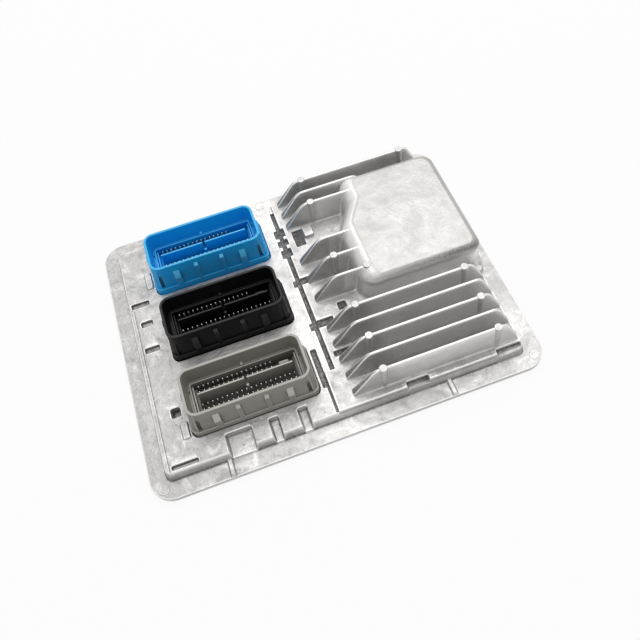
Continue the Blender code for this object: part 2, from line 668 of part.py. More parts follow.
def cut_windows(cover):
    """A window for each socket, with room under its edge for a gasket."""
    for colour, y in SOCKETS.items():
        length = SOCKET_BASE_LENGTH + 2 * WINDOW_PLAY
        width = SOCKET_BASE_WIDTH + 2 * WINDOW_PLAY
        window = centred(SOCKET_X, y, length, width, SOCKET_BASE_CORNER)
        length = SOCKET_BASE_LENGTH + 2 * GASKET_ROOM
        width = SOCKET_BASE_WIDTH + 2 * GASKET_ROOM
        rebate = centred(SOCKET_X, y, length, width, SOCKET_BASE_CORNER + GASKET_ROOM)
        low = SOCKET_CEILING - SINK
        combine(cover, prism(colour + "_window", window, low, PLATFORM_TOP + SINK), "DIFFERENCE")
        combine(cover, prism(colour + "_rebate", rebate, low, GASKET_CEILING), "DIFFERENCE")


def add_board_bosses(cover):
    """Posts that the board is screwed to, each with a blind hole."""
    posts = [prism("post", circle(x, y, BOARD_BOSS_DIAMETER), ON_BOARD, FIN_CEILING + SINK)
             for x, y in board_screw_places()]
    add(cover, "board_posts", posts)
    holes = [prism("hole", circle(x, y, HOLE_DIAMETER, SCREW_STEPS), BOARD_BOTTOM,
                   BOARD_BOTTOM + BOARD_SCREW_LENGTH + PLAY) for x, y in board_screw_places()]
    cut(cover, "board_screw_holes", holes)


def cut_underside(cover):
    """Blind holes for the plate's screws, and the groove for the seal."""
    holes = [prism("hole", circle(x, y, HOLE_DIAMETER, SCREW_STEPS), FLANGE_BOTTOM - SINK,
                   PLATE_SCREW_DEPTH + PLATE_SCREW_LENGTH + PLAY) for x, y in plate_screw_places()]
    cut(cover, "plate_screw_holes", holes)
    groove = seal_ring("seal_groove", PLAY, FLANGE_BOTTOM - SINK, FLANGE_BOTTOM + SEAL_HEIGHT + PLAY)
    combine(cover, groove, "DIFFERENCE")


def seal_ring(name, play, bottom, top):
    """The run of the seal round the platform's edge."""
    rings = []
    inner = SEAL_WIDTH + play
    for inset, height in ((-play, bottom), (-play, top), (inner, top), (inner, bottom)):
        edge = SEAL_FROM_EDGE + inset
        outline = rectangle(PLATFORM_LEFT + edge, PLATFORM_RIGHT - edge,
                            PLATFORM_FRONT + edge, PLATFORM_BACK - edge, SEAL_CORNER - inset)
        rings.append(raised(outline, height))
    return tube(name, rings)


def board_screw_places():
    """Between the sockets, and near the corners of the board's other half."""
    inset = BOARD_SCREW_INSET
    places = []
    for y in (FIRST_SOCKET_Y + SOCKET_PITCH / 2, FIRST_SOCKET_Y + SOCKET_PITCH * 3 / 2):
        places += [(HOLLOW_LEFT + inset, y), (SOCKET_RIGHT - inset, y)]
    for y in (HOLLOW_FRONT + inset, HOLLOW_BACK - inset):
        places += [(FIN_NOSE + inset, y), (HOLLOW_RIGHT - inset, y)]
    return places


def plate_screw_places():
    """Along the front and back edges, outside the board and inside the seal."""
    left = (PLATFORM_LEFT + HOLLOW_LEFT) / 2
    right = (PLATFORM_RIGHT + HOLLOW_RIGHT) / 2 - SEAL_WIDTH / 2
    front = (PLATFORM_FRONT + HOLLOW_FRONT) / 2
    back = HOLLOW_BACK + HOLE_DIAMETER / 2 + PLAY
    middle = [SOCKET_X, FIN_NOSE + FIN_NOSE_SLOPE]
    return [(x, y) for y in (front, back) for x in (left, *middle, right)]


def heat_sink_cover():
    cover = cover_block()
    add_small_raised_forms(cover)
    cut_recesses(cover)
    cut_channel(cover)
    add_dome(cover)
    add_fins(cover)
    add_ejector_pads(cover)
    cut_hollow(cover)
    cut_windows(cover)
    add_board_bosses(cover)
    cut_underside(cover)
    return cover


def base_plate():
    """A flat sheet with the flange's outline and countersunk holes."""
    outline = rectangle(LEFT, RIGHT, FRONT, BACK, FLANGE_CORNER, WIDE_CORNER_STEPS)
    plate = prism("base_plate", outline, 0.0, PLATE_THICKNESS)
    face, neck = countersunk_profile()[:2]
    wide = face[1] + 2 * PLAY
    narrow = neck[1] + 2 * PLAY
    profile = [(wide, -SINK), (wide, face[0]), (narrow, neck[0]), (narrow, PLATE_THICKNESS + SINK)]
    holes = [turned("hole", x, y, profile, SCREW_STEPS) for x, y in plate_screw_places()]
    cut(plate, "countersinks", holes)
    return plate


def countersunk_profile():
    """Heights and diameters of a countersunk screw, from its face up to its point."""
    face = PLATE_SCREW_DEPTH
    neck = face + (SCREW_HEAD_DIAMETER - SCREW_DIAMETER) / 2
    end = face + PLATE_SCREW_LENGTH
    return [(face, SCREW_HEAD_DIAMETER), (neck, SCREW_DIAMETER), (end - SCREW_POINT, SCREW_DIAMETER),
            (end, SCREW_DIAMETER - 2 * SCREW_POINT)]


def screw(name, x, y, profile):
    """A screw with its head down and a round drive socket in the head."""
    face = profile[0][0]
    socket = [(face + SCREW_SOCKET_DEPTH, SCREW_SOCKET_DIAMETER), (face, SCREW_SOCKET_DIAMETER)]
    return solid(name, [raised(circle(x, y, diameter, SCREW_STEPS), height)
                        for height, diameter in socket + profile])


def board_screw_profile():
    top = BOARD_BOTTOM - PLAY
    face = top - SCREW_HEAD_HEIGHT
    end = BOARD_BOTTOM + BOARD_SCREW_LENGTH
    return [(face, SCREW_HEAD_DIAMETER), (top, SCREW_HEAD_DIAMETER), (top, SCREW_DIAMETER),
            (end - SCREW_POINT, SCREW_DIAMETER), (end, SCREW_DIAMETER - 2 * SCREW_POINT)]


def circuit_board():
    play = BOARD_PLAY
    outline = rectangle(HOLLOW_LEFT + play, HOLLOW_RIGHT - play, HOLLOW_FRONT + play, HOLLOW_BACK - play,
                        BOARD_CORNER)
    board = prism("circuit_board", outline, BOARD_BOTTOM, BOARD_TOP)
    holes = [prism("hole", circle(x, y, HOLE_DIAMETER, SCREW_STEPS), BOARD_BOTTOM - SINK, BOARD_TOP + SINK)
             for x, y in board_screw_places()]
    cut(board, "screw_holes", holes)
    return board


def socket_wall_outline(height, inset, y):
    """A socket's plan at a height, drawn in by a distance. The walls lean in towards the rim."""
    lean = (SOCKET_FLARE - LIP_REACH) * (SOCKET_TOP - height) / (SOCKET_TOP - LIP_TOP)
    grow = 2 * (lean - inset)
    return centred(SOCKET_X, y, SOCKET_LENGTH + grow, SOCKET_WIDTH + grow, SOCKET_CORNER - inset)


def well_outline(y, inset):
    return centred(SOCKET_X, y + WELL_OFFSET, WELL_LENGTH - 2 * inset, WELL_WIDTH - 2 * inset, WELL_CORNER)


def socket_shroud(name, y):
    """The deep rounded wall round the pins, with its base lip, latches, guides and nubs."""
    base = centred(SOCKET_X, y, SOCKET_BASE_LENGTH, SOCKET_BASE_WIDTH, SOCKET_BASE_CORNER)
    shoulder = centred(SOCKET_X, y, SOCKET_BASE_LENGTH - 2 * LIP_CHAMFER, SOCKET_BASE_WIDTH - 2 * LIP_CHAMFER,
                       SOCKET_BASE_CORNER)
    rings = [raised(base, ON_BOARD), raised(base, LIP_TOP - LIP_CHAMFER), raised(shoulder, LIP_TOP),
             raised(socket_wall_outline(LIP_TOP, 0.0, y), LIP_TOP),
             raised(socket_wall_outline(SOCKET_TOP, 0.0, y), SOCKET_TOP),
             raised(socket_wall_outline(SOCKET_TOP, SOCKET_WALL, y), SOCKET_TOP),
             raised(socket_wall_outline(SOCKET_TOP, SOCKET_WALL + SOCKET_DRAFT, y), SOCKET_FLOOR),
             raised(well_outline(y, 0.0), SOCKET_FLOOR), raised(well_outline(y, 0.0), ON_BOARD)]
    shroud = tube(name, rings)
    add(shroud, name + "_outer_forms", latches_and_guides(y) + [end_nub(y)])
    add(shroud, name + "_inner_nub", [inner_nub(y)])
    cut(shroud, name + "_slots", corner_slots(y) + core_holes(y))
    return shroud


def socket_front(height, y):
    """Where the front wall's outer face is at a height."""
    lean = (SOCKET_FLARE - LIP_REACH) * (SOCKET_TOP - height) / (SOCKET_TOP - LIP_TOP)
    return y - SOCKET_WIDTH / 2 - lean


def latches_and_guides(y):
    """Two latch ramps and two guide ribs on the front wall, which run down to the lip."""
    low = LIP_TOP - LIP_CHAMFER - SINK / 2
    forms = []
    for width, reach, leg, drop, ramp, spacing in (
            (LATCH_WIDTH, LATCH_REACH, LIP_REACH, LATCH_DROP, LATCH_RAMP, LATCH_SPACING),
            (GUIDE_WIDTH, GUIDE_REACH, GUIDE_REACH, GUIDE_DROP, GUIDE_RAMP, GUIDE_SPACING)):
        top = SOCKET_TOP - drop
        knee = top - ramp
        wall = socket_front(top, y)
        foot = socket_front(low, y)
        shin = foot - leg + LIP_CHAMFER
        profile = [(foot + SINK, low), (wall + SINK, top), (wall, top), (wall - reach, knee),
                   (wall - reach, knee - LIP_CHAMFER), (shin, knee - ramp / 2 - LIP_CHAMFER), (shin, low)]
        for side in (-1, 1):
            x = SOCKET_X + side * spacing / 2
            forms.append(along_x("form", profile[::-1], x - width / 2, x + width / 2))
    return forms


def end_nub(y):
    """A small catch on the left end."""
    height = SOCKET_TOP - NUB_DROP
    wall = SOCKET_X - SOCKET_LENGTH / 2
    front = y + NUB_OFFSET - NUB_WIDTH / 2
    return block("nub", wall - NUB_REACH, wall + SINK, front, front + NUB_WIDTH, height, height + NUB_HEIGHT)


def inner_nub(y):
    """A small key at the foot of the inner back wall."""
    back = y + SOCKET_WIDTH / 2 - SOCKET_WALL
    size = INNER_NUB_SIZE
    return block("inner_nub", SOCKET_X - size / 2, SOCKET_X + size / 2,
                 back - size - SOCKET_DRAFT, back + SINK, SOCKET_FLOOR - SINK, SOCKET_FLOOR + size)


def corner_slots(y):
    """A narrow upright groove near each end of the front wall."""
    slots = []
    low = LIP_TOP + LIP_CHAMFER
    high = SOCKET_TOP - SLOT_DROP
    for side in (-1, 1):
        x = SOCKET_X + side * (SOCKET_LENGTH / 2 - SLOT_FROM_END)
        rings = []
        for height in (low, high):
            wall = socket_front(height, y)
            left = x - SLOT_WIDTH / 2
            right = x + SLOT_WIDTH / 2
            rings.append([(left, wall - SINK, height), (right, wall - SINK, height),
                          (right, wall + SLOT_DEPTH, height), (left, wall + SLOT_DEPTH, height)])
        slots.append(solid("slot", rings))
    return slots


def core_holes(y):
    """A small square hole in the floor at each end of the pin field."""
    holes = []
    for side in (-1, 1):
        x = SOCKET_X + side * (WELL_LENGTH / 2 + CORE_HOLE_FROM_WELL + CORE_HOLE_SIZE / 2)
        outline = centred(x, y + CORE_HOLE_OFFSET, CORE_HOLE_SIZE, CORE_HOLE_SIZE, RECESS_CORNER / 2, 1)
        holes.append(prism("hole", outline, PIN_FLOOR, SOCKET_FLOOR + SINK))
    return holes


def pin(x, y):
    """A square pin that narrows towards its tip."""
    rings = []
    for height, half in ((PIN_FLOOR - PIN_ROOT, PIN_SIZE / 2), (SOCKET_FLOOR, PIN_TIP / 2)):
        rings.append([(x - half, y - half, height), (x + half, y - half, height),
                      (x + half, y + half, height), (x - half, y + half, height)])
    return solid("pin", rings)


def pin_block(name, socket_y):
    """The block that carries the pins, with a divider between the two groups of rows."""
    y = socket_y + WELL_OFFSET
    carrier = prism(name, well_outline(socket_y, PLAY), ON_BOARD, PIN_FLOOR)
    first = SOCKET_X - PIN_FIELD_LENGTH / 2
    pins = []
    for row in (0, 1):
        offset = PIN_GROUP_SPACING / 2 + row * PIN_ROW_SPACING
        pins += [pin(first + i * PIN_PITCH, y - offset) for i in range(FRONT_PIN_COUNT)]
        pins += [pin(first + i * PIN_PITCH, y + offset) for i in range(BACK_PIN_COUNT)]
    add(carrier, name + "_pins", pins)
    add(carrier, name + "_ribs", block_ribs(y))
    return carrier


def block_ribs(y):
    """Divider, end cheeks, key post and coding rib."""
    low = PIN_FLOOR - PIN_ROOT
    half_gap = DIVIDER_GAP / 2
    half_length = PIN_FIELD_LENGTH / 2 + DIVIDER_OVERHANG
    half = DIVIDER_THICKNESS / 2
    top = PIN_FLOOR + DIVIDER_HEIGHT
    ribs = [block("rib", SOCKET_X + start, SOCKET_X + end, y - half, y + half, low, top)
            for start, end in ((-half_length, -half_gap), (half_gap, half_length))]
    width = WELL_WIDTH / 2 - PLAY - WELL_CORNER
    for side in (-1, 1):
        x = SOCKET_X + side * (WELL_LENGTH / 2 - PLAY - CHEEK_THICKNESS / 2)
        ribs.append(block("cheek", x - CHEEK_THICKNESS / 2, x + CHEEK_THICKNESS / 2, y - width, y + width,
                          low, PIN_FLOOR + CHEEK_HEIGHT))
    front = y - half - KEY_FROM_DIVIDER - INNER_NUB_SIZE
    ribs.append(block("key", SOCKET_X - INNER_NUB_SIZE / 2, SOCKET_X + INNER_NUB_SIZE / 2, front,
                      front + INNER_NUB_SIZE, low, PIN_FLOOR + KEY_HEIGHT))
    left = SOCKET_X - PIN_FIELD_LENGTH / 2 + (BACK_PIN_COUNT - 1) * PIN_PITCH + CODING_RIB_FROM_PINS
    front = y + CODING_RIB_Y - CODING_RIB_THICKNESS / 2
    ribs.append(block("coding_rib", left, left + CODING_RIB_LENGTH, front, front + CODING_RIB_THICKNESS,
                      low, PIN_FLOOR + CODING_RIB_HEIGHT))
    return ribs


def socket_gasket(name, y):
    """A soft ring between a socket's base and its window."""
    rings = []
    wide = PLAY + GASKET_WIDTH
    top = SOCKET_CEILING + GASKET_HEIGHT
    for reach, height in ((wide, SOCKET_CEILING), (wide, top), (PLAY, top), (PLAY, SOCKET_CEILING)):
        outline = centred(SOCKET_X, y, SOCKET_BASE_LENGTH + 2 * reach, SOCKET_BASE_WIDTH + 2 * reach,
                          SOCKET_BASE_CORNER + reach)
        rings.append(raised(outline, height))
    return tube(name, rings)


def chip(name, x, y, length, width, height=CHIP_HEIGHT):
    """A flat package with chamfered upper edges."""
    foot = centred(x, y, length, width, CHIP_CHAMFER, 1)
    top = centred(x, y, length - 2 * CHIP_CHAMFER, width - 2 * CHIP_CHAMFER, CHIP_CHAMFER, 1)
    high = ON_BOARD + height
    return solid(name, [raised(foot, ON_BOARD), raised(foot, high - CHIP_CHAMFER), raised(top, high)])


def capacitor(name, x, y):
    """A can with the groove that holds its rubber bung."""
    full = CAPACITOR_DIAMETER
    waist = full - 2 * CAPACITOR_GROOVE
    groove = ON_BOARD + CAPACITOR_GROOVE_HEIGHT
    top = DOME_TOP - WALL - ROOM_OVER_CAPACITORS
    profile = [(full, ON_BOARD), (full, groove - CAPACITOR_GROOVE), (waist, groove),
               (full, groove + CAPACITOR_GROOVE), (full, top - CAPACITOR_GROOVE), (waist, top)]
    return turned(name, x, y, profile)


def choke_core(x, y):
    """A ferrite drum."""
    low = ON_BOARD + CHOKE_FLANGE
    top = ON_BOARD + CHOKE_HEIGHT
    high = top - CHOKE_FLANGE
    waist = CHOKE_DIAMETER - 2 * CHOKE_GROOVE_DEPTH
    return turned("choke_core", x, y, [(CHOKE_DIAMETER, ON_BOARD), (CHOKE_DIAMETER, low), (waist, low),
                                       (waist, high), (CHOKE_DIAMETER, high), (CHOKE_DIAMETER, top)])


def choke_winding(x, y):
    """The coil of wire on the drum, as one ring."""
    low = ON_BOARD + CHOKE_FLANGE + PLAY
    top = ON_BOARD + CHOKE_HEIGHT - CHOKE_FLANGE - PLAY
    outer = CHOKE_DIAMETER - 2 * PLAY
    inner = CHOKE_DIAMETER - 2 * CHOKE_GROOVE_DEPTH + 2 * PLAY
    return tube("choke_winding", [raised(circle(x, y, diameter), height) for diameter, height in
                                  ((outer, low), (outer, top), (inner, top), (inner, low))])


def build():
    cast = material("cast_aluminium", (0.62, 0.61, 0.59), 0.45, 0.9)
    sheet = material("sheet_aluminium", (0.60, 0.60, 0.60), 0.35, 0.9)
    steel = material("zinc_plated_steel", (0.55, 0.56, 0.58), 0.35, 0.9)
    rubber = material("silicone", (0.05, 0.05, 0.055), 0.75)
    laminate = material("board_laminate", (0.02, 0.14, 0.06), 0.5)
    epoxy = material("chip_epoxy", (0.025, 0.025, 0.028), 0.55)
    can = material("capacitor_can", (0.65, 0.66, 0.67), 0.3, 0.9)
    ferrite = material("ferrite", (0.05, 0.05, 0.05), 0.6)
    copper = material("enamelled_copper", (0.60, 0.24, 0.10), 0.35, 0.9)
    thermal = material("thermal_pad", (0.45, 0.48, 0.55), 0.8)
    plastics = {"grey": material("grey_plastic", (0.21, 0.20, 0.175), 0.5),
                "black": material("black_plastic", (0.012, 0.012, 0.013), 0.45),
                "blue": material("blue_plastic", (0.006, 0.16, 0.55), 0.4)}

    paint(heat_sink_cover(), cast)
    paint(base_plate(), sheet)
    paint(seal_ring("cover_seal", 0.0, FLANGE_BOTTOM, FLANGE_BOTTOM + SEAL_HEIGHT), rubber)
    paint(circuit_board(), laminate)
    for colour, y in SOCKETS.items():
        paint(socket_shroud(colour + "_socket_shroud", y), plastics[colour])
        paint(pin_block(colour + "_pin_block", y), plastics[colour])
        paint(socket_gasket(colour + "_socket_gasket", y), rubber)
    for i, (x, y) in enumerate(board_screw_places()):
        paint(screw(f"board_screw_{i + 1}", x, y, board_screw_profile()), steel)
    for i, (x, y) in enumerate(plate_screw_places()):
        profile = countersunk_profile()
        paint(screw(f"plate_screw_{i + 1}", x, y, profile), steel)
    fit_board_parts(epoxy, thermal, can, ferrite, copper, steel)


def fit_board_parts(epoxy, thermal, can, ferrite, copper, steel):
    """Logic beside the front fins, drivers under them against pads, and tall parts in the dome."""
    left = CHANNEL_RIGHT + WALL + PART_SPACING
    front = HOLLOW_FRONT + BOARD_SCREW_INSET + BOARD_BOSS_DIAMETER / 2 + PART_SPACING
    for i in range(DRIVER_COUNT):
        x = left + DRIVER_LENGTH / 2 + i * DRIVER_PITCH
        y = front + DRIVER_WIDTH / 2
        paint(chip(f"driver_chip_{i + 1}", x, y, DRIVER_LENGTH, DRIVER_WIDTH), epoxy)
        outline = centred(x, y, DRIVER_LENGTH, DRIVER_WIDTH, CHIP_CHAMFER, 1)
        top = FIN_CEILING - PLAY
        paint(prism(f"thermal_pad_{i + 1}", outline, top - PAD_THICKNESS, top), thermal)
    y = front + DRIVER_WIDTH + PART_SPACING + PROCESSOR_SIZE / 2
    x = left + PROCESSOR_SIZE / 2
    paint(chip("processor", x, y, PROCESSOR_SIZE, PROCESSOR_SIZE), epoxy)
    x += PROCESSOR_SIZE / 2 + PART_SPACING + MEMORY_LENGTH / 2
    paint(chip("memory_chip", x, y, MEMORY_LENGTH, MEMORY_WIDTH), epoxy)
    x += MEMORY_LENGTH / 2 + PART_SPACING + CRYSTAL_LENGTH / 2
    paint(chip("crystal", x, y, CRYSTAL_LENGTH, CRYSTAL_WIDTH), steel)
    x += CRYSTAL_LENGTH / 2 + PART_SPACING + POWER_CHIP_SIZE / 2
    paint(chip("power_chip", x, y, POWER_CHIP_SIZE, POWER_CHIP_SIZE), epoxy)
    room_left, room_right, room_front, room_back = dome_room()
    x = room_left + DOME_LEFT_EDGE + PART_SPACING + CAPACITOR_DIAMETER / 2
    y = (room_front + room_back) / 2
    for i in range(CAPACITOR_COUNT):
        offset = (i - (CAPACITOR_COUNT - 1) / 2) * CAPACITOR_PITCH
        paint(capacitor(f"capacitor_{i + 1}", x, y + offset), can)
    x += CAPACITOR_DIAMETER / 2 + CAPACITORS_TO_CHOKE + CHOKE_DIAMETER / 2
    paint(choke_core(x, y), ferrite)
    paint(choke_winding(x, y), copper)


for leftover in list(bpy.data.objects):
    bpy.data.objects.remove(leftover)
build()
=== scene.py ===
"""The look of an engine control unit: die-cast cover, three pin sockets, base plate and what lies inside.

Sizes are in millimetres and become metres as a mesh is made. X runs along the fins, Y across them, Z up.
The tone of a point paints light and shade along with some wear: above 0 it lightens rubbed edges and paints
highlights, below 0 it paints shade in recesses and on sides away from the light. Materials read it.
"""

from math import atan2, cos, pi, radians, sin, sqrt, tan

import bpy
import numpy as np
from mathutils import Matrix, Vector


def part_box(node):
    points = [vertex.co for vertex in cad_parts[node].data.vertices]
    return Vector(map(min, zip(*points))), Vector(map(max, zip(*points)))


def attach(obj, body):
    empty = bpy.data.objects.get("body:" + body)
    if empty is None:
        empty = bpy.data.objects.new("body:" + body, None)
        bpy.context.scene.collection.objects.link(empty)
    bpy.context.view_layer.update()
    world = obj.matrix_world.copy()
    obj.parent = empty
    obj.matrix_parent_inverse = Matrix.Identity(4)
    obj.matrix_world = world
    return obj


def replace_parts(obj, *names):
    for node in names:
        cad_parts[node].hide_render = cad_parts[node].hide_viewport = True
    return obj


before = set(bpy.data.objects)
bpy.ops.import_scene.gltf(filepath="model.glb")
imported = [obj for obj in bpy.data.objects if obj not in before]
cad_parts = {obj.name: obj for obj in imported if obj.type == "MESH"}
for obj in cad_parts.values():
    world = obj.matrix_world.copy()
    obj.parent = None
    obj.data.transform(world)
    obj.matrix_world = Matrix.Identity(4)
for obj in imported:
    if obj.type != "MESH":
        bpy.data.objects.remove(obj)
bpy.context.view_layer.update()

MM = 0.001

# Plan and levels of the cover
LEFT, RIGHT, FRONT, BACK = -105, 105, -81.5, 81.5
DECK_LEFT, DECK_RIGHT, DECK_FRONT, DECK_BACK = -95.5, 94, -71.1, 70.1
FLARE, FRONT_FLARE = 0.75, 1.5
PLATE_TOP = 1.5
FLANGE_BOTTOM = 1.8
FLANGE_TOP = 3.2
DECK = 9
FIELD = 10
FIN_TOP = 26
DOME_TOP = 27
FLANGE_CORNER = 12
DECK_CORNER = 3.5
HOLLOW = (-80, 85, -59.2, 63.1)

# Channel between sockets and fins, and the field under the fins, which reaches left in front of the channel
CHANNEL_LEFT, CHANNEL_RIGHT = -3.4, -1.1
FIELD_LEFT, FIELD_TURN = CHANNEL_LEFT - 3.3, -47.5
FIELD_RIGHT, FIELD_FRONT, FIELD_BACK = DECK_RIGHT - 0.3, DECK_FRONT + 0.3, DECK_BACK - 0.3

# Fins and dome
FIN_NOSE = 2.8
FIN_TAIL = 93
FIN_FILLET = 1.3
FRONT_FINS = (-64.2, -54.3, -44.4, -34.5, -24.6)
MIDDLE_FINS = (-4.1, 9.1, 22.3)
BACK_FINS = (67.6, 58.6, 49.6)
DOME_LEFT, DOME_RIGHT, DOME_FRONT, DOME_BACK = 26.5, 97.5, -16.9, 60
DOME_STEP = 10

# Sockets: the wall's size is that of its top. The well's middle lies WELL_OFFSET behind the wall's, and
# each pin row has its place from there and its number of pins
SOCKET_X = -44.85
SOCKETS = {"grey": -42.6, "black": 2.45, "blue": 47.5}
WALL_LENGTH, WALL_WIDTH, WALL_CORNER = 62.7, 26.2, 5.5
LIP_LENGTH, LIP_WIDTH, LIP_CORNER = 66.1, 29.6, 3.5
WELL_LENGTH, WELL_WIDTH, WELL_OFFSET = 54.8, 17.4, 0.4
SOCKET_TOP = 28.3
EAR_TOP = 27
LEDGE = 18
LIP_TOP = 12.5
PIN_FLOOR = 11
FORM_FOOT = 9.4
ON_BOARD = 5.4
PIN_LEFT, PIN_PITCH = SOCKET_X - 23.75, 2.5
PIN_ROWS = ((-3.6, 20), (3.6, 16), (-6.5, 20), (6.5, 16))

WHITE = (1, 1, 1, 1)


# ---- meshes

def corner(before, here, after):
    """A corner, the directions back and ahead from it, and half the angle between them."""
    here = Vector(here)
    back = (Vector(before) - here).normalized()
    ahead = (Vector(after) - here).normalized()
    return here, back, ahead, back.angle(ahead) / 2


def rounded(corners, radii, steps):
    """A counterclockwise outline through the corners, each one rounded."""
    points = []
    for i, radius in enumerate(radii):
        here, back, ahead, half = corner(corners[i - 1], corners[i], corners[(i + 1) % len(corners)])
        centre = here + (back + ahead).normalized() * radius / sin(half)
        start = here + back * radius / tan(half) - centre
        end = here + ahead * radius / tan(half) - centre
        first = atan2(start.y, start.x)
        turn = (atan2(end.y, end.x) - first + pi) % (2 * pi) - pi
        for step in range(steps + 1):
            angle = first + turn * step / steps
            points.append((centre.x + radius * cos(angle), centre.y + radius * sin(angle)))
    return points


def rectangle(left, right, front, back, radius, steps=6):
    return rounded([(left, front), (right, front), (right, back), (left, back)], [radius] * 4, steps)


def centred(x, y, length, width, radius, steps=6):
    return rectangle(x - length / 2, x + length / 2, y - width / 2, y + width / 2, radius, steps)


def circle(x, y, diameter, steps=32):
    return [(x + diameter / 2 * cos(2 * pi * i / steps), y + diameter / 2 * sin(2 * pi * i / steps))
            for i in range(steps)]


def at(outline, z):
    return [(x, y, z) for x, y in outline]


def levels(plan, table):
    """Levels (outline, height, tone) from a plan with one measure and a table (measure, height, tone)."""
    return [(plan(measure), z, tone) for measure, z, tone in table]


def new_object(name, data):
    thing = bpy.data.objects.new(name, data)
    bpy.context.scene.collection.objects.link(thing)
    return thing


def dressed(name, mesh, tones, look):
    """The piece of a finished mesh, with its tones and its look (material, slot), of which the slot is not
    used.
    """
    finish, slot = look
    tone = mesh.attributes.new("tone", "FLOAT", "POINT")
    tone.data.foreach_set("value", np.array(tones, dtype=np.float32))
    mesh.materials.append(finish)
    thing = new_object(name, mesh)
    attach(thing, "root")
    return thing


class Shell:
    """Points and faces of one piece, gathered from several forms, with a tone for each point."""

    def __init__(self):
        self.points, self.faces, self.tones = [], [], []

    def grid(self, rows, tones=None, closed=False):
        """Quads through rows of equal length, which run round with closed. Returns the first and last row."""
        start = len(self.points)
        count = len(rows[0])
        for row, tone in zip(rows, tones or [0] * len(rows)):
            self.points.extend(row)
            self.tones.extend(tone if hasattr(tone, "__len__") else [tone] * count)
        for low in range(start, len(self.points) - count, count):
            for j in range(count if closed else count - 1):
                k = (j + 1) % count
                self.faces.append((low + j, low + k, low + count + k, low + count + j))
        return range(start, start + count), range(len(self.points) - count, len(self.points))

    def loft(self, rings, tones=None, bottom=True, top=True):
        """A tube of rings with flat ends. Rings run counterclockwise seen from where the loft goes."""
        first, last = self.grid(rings, tones, closed=True)
        if bottom:
            self.faces.append(tuple(first[::-1]))
        if top:
            self.faces.append(tuple(last))
        return self

    def stack(self, rings, bottom=True, top=True):
        """A loft through levels of (outline, height, tone)."""
        outlines, tones = [at(outline, z) for outline, z, _ in rings], [tone for _, _, tone in rings]
        return self.loft(outlines, tones, bottom, top)

    def tube(self, rings):
        """A stack that closes on its first level."""
        return self.stack([*rings, rings[0]], bottom=False, top=False)

    def block(self, left, right, front, back, low, high, bevel=0.2, tone=0, cap=None):
        """A block with bevelled corners and upper edges."""
        outline, middle, inner = (
            rectangle(left + inset, right - inset, front + inset, back - inset, radius, 2)
            for inset, radius in ((0, bevel), (bevel * 0.3, bevel * 0.7), (bevel, bevel / 10)))
        # The bevel's middle ring gets a painted highlight, and cap gives the top face its own tone, a painted
        # highlight where it is high.
        self.stack([(outline, low, tone), (outline, high - bevel, tone),
                    (middle, high - bevel * 0.3, tone + 0.4), (inner, high, tone if cap is None else cap)])

    def mesh(self, name):
        mesh = bpy.data.meshes.new(name)
        mesh.from_pydata((np.array(self.points) * MM).tolist(), [], self.faces)
        return mesh

    def piece(self, name, look, sharp=38):
        mesh = self.mesh(name)
        mesh.validate()
        mesh.shade_smooth()
        mesh.set_sharp_from_angle(angle=radians(sharp))
        return dressed(name, mesh, self.tones, look)


# ---- deck as a height field

def rect_distance(x, y, place, radius):
    """Distance from a rounded rectangle (left, right, front, back), negative inside it."""
    left, right, front, back = place
    across = np.abs(x - (left + right) / 2) - (right - left) / 2 + radius
    along = np.abs(y - (front + back) / 2) - (back - front) / 2 + radius
    outside = np.hypot(np.maximum(across, 0), np.maximum(along, 0))
    return outside + np.minimum(np.maximum(across, along), 0) - radius


class Edge:
    """The rounded profile of a step: how much of its height is reached at a distance from the edge."""

    def __init__(self, height, top_radius, foot_radius, draft, inward):
        turns = np.linspace(0, pi / 2, 13)
        top = [(top_radius * (1 - sin(a)), top_radius * (1 - cos(a)) / height) for a in turns]
        foot = [(-draft - foot_radius * (1 - cos(a)), 1 - foot_radius * (1 - sin(a)) / height) for a in turns]
        if not inward:
            # A raised form has its rounding inside its outline and its fillet outside
            top, foot = ([(-place, 1 - share) for place, share in part] for part in (top, foot))
        self.places, self.shares = np.array(sorted(top + foot)).T
        self.lines = [place for place, _ in top[::4] + foot[::4]]

    def share(self, distance):
        return np.interp(distance, self.places, self.shares)


SHALLOW = Edge(1.7, 0.45, 0.45, 0.3, True)
GROOVE = Edge(2.2, 0.4, 0.35, 0.25, True)
DEEP = Edge(4.9, 0.6, 0.7, 0.4, True)
WINDOW = Edge(3.4, 0.45, 0.05, 0.1, True)
STEP = Edge(1, 0.3, 0.25, 0.1, False)
MESA = Edge(0.9, 0.35, 0.35, 0.2, False)
BOX = Edge(2.2, 0.35, 0.3, 0.2, False)
RIM = Edge(0.4, 0.2, 0.15, 0.1, False)


def forms_at(x, *forms):
    """Places (left, right, front, back) of forms (from x, from the deck's front, length, width)."""
    return [(x + a, x + a + c, DECK_FRONT + b, DECK_FRONT + b + d) for a, b, c, d in forms]


SLOTS = forms_at(DECK_LEFT, (3.5, 69.4, 8, 3.4), (4.5, 86.2, 6.5, 3.5), (1.5, 99.8, 10, 3.4),
                 (3.5, 1.4, 13.5, 2.2))
SIDE_POCKETS = forms_at(SOCKET_X + LIP_LENGTH / 2, (1.9, 15.6, 3, 23.2))
EDGE_POCKETS = forms_at(DECK_LEFT, (9.2, 27.8, 4.8, 5.4))
MESAS = forms_at(DECK_LEFT, (12.5, 14.6, 3.4, 9), (12.5, 109.6, 3.4, 11))
FIN_MESAS = forms_at(FIN_NOSE, (8.1, 109.2, 5.4, 7.6))
BAYS = forms_at(DECK_LEFT, (32, -2.3, 13.5, 12.4), (54.5, -2.3, 5, 12.4), (69.5, -2.3, 5, 12.4))
FIN_BAYS = forms_at(FIN_NOSE, (27, -2.3, 12, 5.5), (76.5, -2.3, 14, 5.5))
FIN_POCKETS = forms_at(FIN_NOSE, (1.7, 105.1, 5.8, 12), (10.2, 55.9, 4.8, 5), (-1.5, 29.8, 9.7, 3.4))
